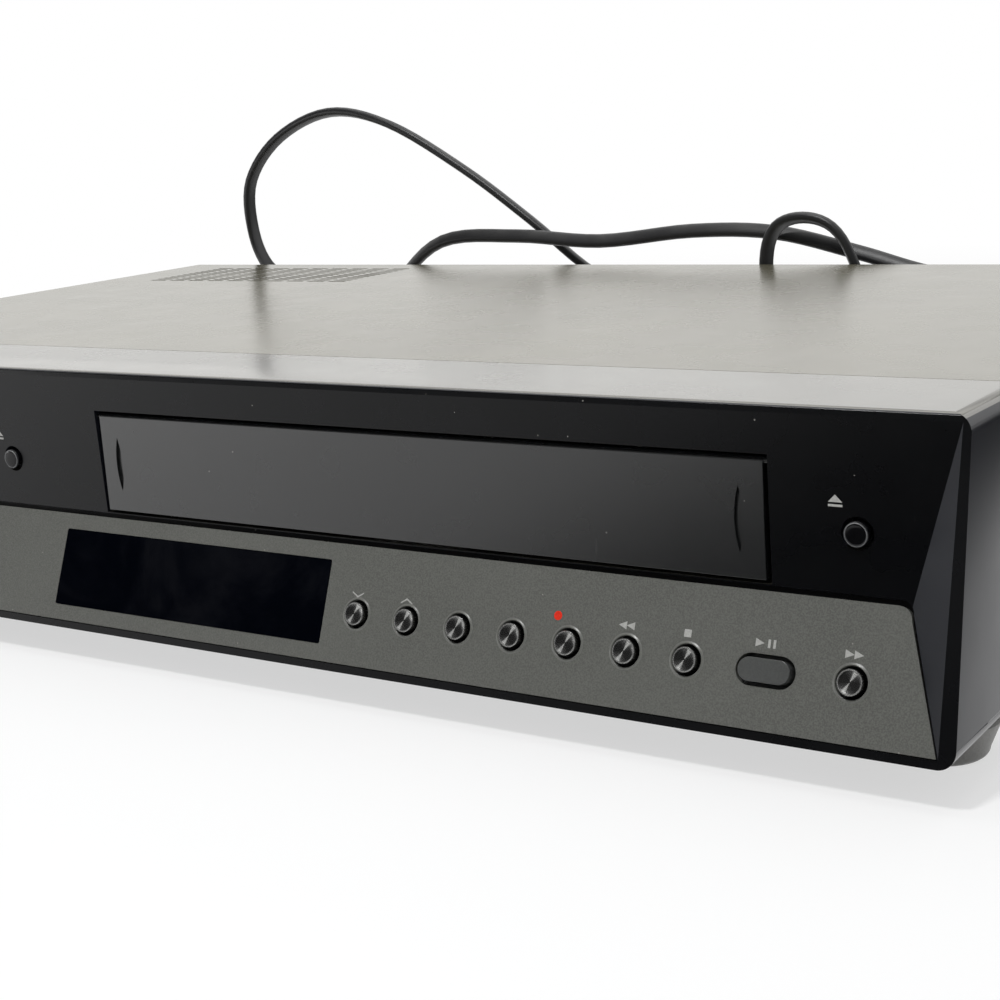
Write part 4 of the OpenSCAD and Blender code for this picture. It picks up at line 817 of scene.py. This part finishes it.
class PLAYER_OT_other_caps(PlayerStep, bpy.types.Operator):
    """Makes the long play cap and the two gloss caps of the upper panel"""

    bl_idname = "player.other_caps"
    bl_label = "Other Caps"

    def execute(self, context):
        dressed("play_button", "play_cap", "cap_metal", 0.0003, 3, extra=["satin_cap"], reach=0.2,
                sort=lambda normal: 1, edges=1)
        r = 2.66
        outline = [(0, -1.2), (r, -1.2), (r, 0.55), (r - 0.1, 0.85), (r - 0.3, 1.05), (r - 0.6, 1.13),
                   (r * 0.5, 1.19), (0, 1.21)]
        # A thin ring on each gloss cap's edge, in a light grey painted highlight.
        highlight_rim = [(2.3, 1.08), (2.36, 1.17), (2.46, 1.16), (2.6, 0.98), (2.5, 0.9), (2.3, 1.08)]
        for node, x in GLOSS_BUTTONS.items():
            cap, edge = (turned(shape, self.sizes.turns) for shape in (outline, highlight_rim))
            place = on_front(x, TOP_ROW, -0.08)
            o = gather(node + "_cap", [(merged(node), Matrix(), 0), (cap, place, 1), (edge, place, 2)],
                       [finishes()["black_plastic"], finishes()["cap_black"], finishes()["cap_edge_painted_highlight"]],
                       node)
            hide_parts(node)
        return {"FINISHED"}


# ---------------------------------------------------------------- printed marks


class PLAYER_OT_marks(PlayerStep, bpy.types.Operator):
    """Prints the plain function marks beside the buttons"""

    bl_idname = "player.marks"
    bl_label = "Printed Marks"

    def execute(self, context):
        high, row = self.sizes.print_height, -10.9
        right, left = [(-1, -0.88), (1, 0), (-1, 0.88)], [(1, -0.88), (1, 0.88), (-1, 0)]
        bar = [(-0.28, -0.9), (0.28, -0.9), (0.28, 0.9), (-0.28, 0.9)]
        square = [(-0.85, -0.83), (0.85, -0.83), (0.85, 0.83), (-0.85, 0.83)]
        down = [(-1.7, 0.65), (0, -0.45), (1.7, 0.65), (1.7, 0.95), (0, -0.02), (-1.7, 0.95)]
        up = [(x, -y) for x, y in reversed(down)]
        light = [
            (down, 64.5, -12.2), (up, 79.2, -11.7),
            (left, 137.9, row), (left, 139.9, row), (square, 153.9, row),
            (right, 170.8, row), (bar, 172.9, row), (bar, 174.1, row),
            (right, 190.7, row), (right, 192.7, row),
        ]
        parts = [(prism(c, high), on_slope(x, s), 0) for c, x, s in light]
        rise = [(-1.55, 0), (1.55, 0), (0, 1.6)]
        base = [(-1.55, -0.95), (1.55, -0.95), (1.55, -0.45), (-1.55, -0.45)]
        parts += [(prism(c, high), on_front(x, 49.4), 0) for c in (rise, base) for x in (186.6, -62.8)]
        dot = [(1.05 * cos(tau * k / 28), 1.05 * sin(tau * k / 28)) for k in range(28)]
        parts.append((prism(dot, high), on_slope(121.2, -10.7), 1))
        gather("printed_marks", parts, [finishes()["ink"], finishes()["red_ink"]], "housing")
        return {"FINISHED"}


# ---------------------------------------------------------------- drives and electronics

INNER = {
    "black_plastic": ["loader_frame", "disc_clamper", "turntable"],
    "steel": ["clamp_bridge", "traverse_plate", "carriage_frame", "cassette_basket", "pinch_arm",
              "deck_plate", "tray_motor", "deck_motor", "spindle_motor"],
    "plated": ["guide_rods", "supply_guide_post", "takeup_guide_post"],
    "white_plastic": ["tray_pinion", "carriage_slides", "supply_reel", "takeup_reel"],
    "aluminium": ["head_drum", "drum_base", "capstan_flywheel"],
    "brass": ["capstan_bearing"],
    "rubber": ["pinch_roller"],
    "pickup_dark": ["optical_pickup"],
    "board_green": ["main_board", "front_board"],
    "board_brown": ["power_board"],
}


class PLAYER_OT_drives(PlayerStep, bpy.types.Operator):
    """Dresses the disc tray and finishes the disc drive, the cassette deck and the boards"""

    bl_idname = "player.drives"
    bl_label = "Drives and Boards"

    def execute(self, context):
        dressed("tray_front", "tray_flap", "bezel_plastic", self.sizes.edge)
        dressed("disc_tray", "tray_dish", "black_plastic", self.sizes.edge * 0.8)
        for slot, nodes in INNER.items():
            paint(nodes, slot)
        return {"FINISHED"}


# ---------------------------------------------------------------- stage

# Name, place, target, width, height and power
LAMPS = (
    ("overhead_lamp", (-0.15, 0.35, 1.5), (0.0, 0.05, 0.0), 1.5, 1.1, 7.0),
    ("front_lamp", (0.05, -0.6, 1.1), (0.08, -0.1, 0.03), 0.13, 0.13, 7.3),
    ("side_lamp", (-0.85, -0.55, 0.1), (0.0, -0.12, 0.05), 0.3, 0.1, 0.45),
)
CAMERA_AT = (0.32561, -0.441628, 0.143053)
CAMERA_LENS = 63.2765
YAW, PITCH, ROLL = radians(-34.51319), radians(13.07326), radians(-3.77323)
# The strength that mirrored rays find in the darkest part of the room, and the even light elsewhere
ROOM_DARK, ROOM_SOFT = 0.06, 0.42


class PLAYER_OT_stage(PlayerStep, bpy.types.Operator):
    """Sets the floor, the world, the lamps and the camera"""

    bl_idname = "player.stage"
    bl_label = "Stage"

    def execute(self, context):
        scene = context.scene
        scene.view_settings.view_transform = "Standard"
        self.world(scene)
        self.floor(scene)
        for lamp in LAMPS:
            self.lamp(*lamp)
        self.camera(scene)
        return {"FINISHED"}

    def world(self, scene):
        """White behind the object; mirrored rays find the room behind the camera darker."""
        world = bpy.data.worlds.new("Studio")
        world.use_nodes = True
        scene.world = world
        tree = world.node_tree
        tree.nodes.clear()
        link = tree.links.new

        def add(kind, **inputs):
            node = tree.nodes.new("ShaderNode" + kind)
            for key, value in inputs.items():
                node.inputs[key].default_value = value
            return node

        def math(operation, a, b):
            node = add("Math")
            node.operation = operation
            for socket, value in zip(node.inputs, (a, b)):
                if isinstance(value, float):
                    socket.default_value = value
                else:
                    link(value, socket)
            return node.outputs[0]

        def ramp(value, low, high):
            node = add("MapRange", **{"From Min": low, "From Max": high})
            node.interpolation_type = "SMOOTHSTEP"
            link(value, node.inputs[0])
            return node.outputs[0]

        path, axes = add("LightPath").outputs, add("SeparateXYZ")
        link(add("TexCoord").outputs["Generated"], axes.inputs[0])
        behind = ramp(axes.outputs["Y"], -0.15, 0.1)
        room = math("MAXIMUM", behind, ROOM_DARK)
        mirrored = math("MAXIMUM", path["Is Glossy Ray"], path["Is Transmission Ray"])
        soft = add("Background", Color=(0.98, 0.99, 1.0, 1), Strength=ROOM_SOFT)
        seen = add("Background", Color=(1, 1, 1, 1))
        link(math("MAXIMUM", path["Is Camera Ray"], room), seen.inputs["Strength"])
        mix, out = add("MixShader"), add("OutputWorld")
        link(math("MAXIMUM", path["Is Camera Ray"], mirrored), mix.inputs[0])
        link(soft.outputs[0], mix.inputs[1])
        link(seen.outputs[0], mix.inputs[2])
        link(mix.outputs[0], out.inputs["Surface"])

    def floor(self, scene):
        bm = bmesh.new()
        bmesh.ops.create_grid(bm, x_segments=2, y_segments=2, size=9.0)
        bmesh.ops.translate(bm, verts=bm.verts, vec=(0, 0, -0.0002))
        mesh = bpy.data.meshes.new("floor")
        bm.to_mesh(mesh)
        bm.free()
        floor = bpy.data.objects.new("floor", mesh)
        scene.collection.objects.link(floor)
        mesh.materials.append(self.floor_finish())

    def floor_finish(self):
        """Matt white that keeps the shadow. Mirrored rays see a painted glow instead, standing in for a
        surface lit on one side: close beside the object and stronger towards the left, a painted
        reflection on the object.
        """
        f = Finish("Studio Floor", Roughness=0.9, Specular_IOR_Level=0.0)
        f.set("Base Color", f.mix(f.noise(2.0), (0.9, 0.9, 0.9), (0.92, 0.92, 0.92)))
        reach = f.node("VectorMath", {"operation": "LENGTH"}, {0: f.place}, output="Value")
        rays = [f.node("LightPath", output=n) for n in
                ("Is Camera Ray", "Is Glossy Ray", "Is Transmission Ray")]
        glow = f.node("Emission", inputs={"Color": (1, 1, 1), "Strength": 1.0})
        far = f.step(reach, 0.3, 1.0)
        mirrored = rays[1].math("MAXIMUM", rays[1], rays[2])
        along, back = f.axis("X"), f.axis("Y")
        # Painted reflection: the glow that mirrored rays find close beside the object and towards the
        # left.
        beside = f.step(reach, 0.27, 0.36, 1.2, 0.0) * f.step(back, -0.2, -0.11)
        ahead = f.step(along, -0.5, 0.1, 1.0, 0.55) * f.step(along, -0.03, 0.1, 1.0, 0.02)
        painted_reflection_glow = beside.math("MAXIMUM", beside, ahead)
        soft = f.node("Emission", inputs={"Color": (1, 1, 1), "Strength": painted_reflection_glow})
        seen = rays[0] * (0.6 + 0.4 * far)
        blend = f.node("MixShader", inputs={0: seen, 1: Value(f, f.shader.outputs[0]), 2: glow})
        blend = f.node("MixShader", inputs={0: mirrored, 1: blend, 2: soft})
        f.tree.links.new(blend.socket, f.tree.nodes["Material Output"].inputs["Surface"])
        return f.material

    def lamp(self, name, place, target, width, height, power):
        data = bpy.data.lights.new(name, "AREA")
        data.shape, data.size, data.size_y, data.energy = "RECTANGLE", width, height, power
        lamp = bpy.data.objects.new(name, data)
        lamp.location = place
        lamp.rotation_euler = (Vector(target) - Vector(place)).to_track_quat("-Z", "Y").to_euler()
        bpy.context.scene.collection.objects.link(lamp)

    def camera(self, scene):
        data = bpy.data.cameras.new("Camera")
        data.lens, data.sensor_width = CAMERA_LENS, 36.0
        data.clip_start = 0.01
        ahead = Vector((sin(YAW) * cos(PITCH), cos(YAW) * cos(PITCH), -sin(PITCH)))
        level = Vector((cos(YAW), -sin(YAW), 0))
        rise = level.cross(ahead)
        across = cos(ROLL) * level + sin(ROLL) * rise
        above = -sin(ROLL) * level + cos(ROLL) * rise
        camera = bpy.data.objects.new("Camera", data)
        turn = Matrix((across, above, -ahead)).transposed().to_4x4()
        camera.matrix_world = Matrix.Translation(CAMERA_AT) @ turn
        scene.collection.objects.link(camera)
        scene.camera = camera


# ---------------------------------------------------------------- add-on


class PLAYER_PT_panel(bpy.types.Panel):
    """Lists the steps and the settings"""

    bl_label = "Disc and Tape Player"
    bl_idname = "PLAYER_PT_panel"
    bl_space_type = "VIEW_3D"
    bl_region_type = "UI"
    bl_category = "Player"

    def draw(self, context):
        for group in (context.scene.player_sizes, context.scene.player_colours):
            box = self.layout.box()
            for name in group.__annotations__:
                box.prop(group, name)
        for step in STEPS:
            self.layout.operator(step.bl_idname)


STEPS = (
    PLAYER_OT_stage, PLAYER_OT_mains_lead, PLAYER_OT_cover, PLAYER_OT_front, PLAYER_OT_door,
    PLAYER_OT_feet_and_rear, PLAYER_OT_spun_caps, PLAYER_OT_other_caps, PLAYER_OT_marks,
    PLAYER_OT_drives,
)
CLASSES = (PlayerSizes, PlayerColours, *STEPS, PLAYER_PT_panel)


def register():
    for cls in CLASSES:
        bpy.utils.register_class(cls)
    bpy.types.Scene.player_sizes = PointerProperty(type=PlayerSizes)
    bpy.types.Scene.player_colours = PointerProperty(type=PlayerColours)


def unregister():
    del bpy.types.Scene.player_colours
    del bpy.types.Scene.player_sizes
    for cls in reversed(CLASSES):
        bpy.utils.unregister_class(cls)


def main():
    register()
    for step in STEPS:
        getattr(bpy.ops.player, step.bl_idname.split(".")[1])()


if __name__ == "__main__":
    main()
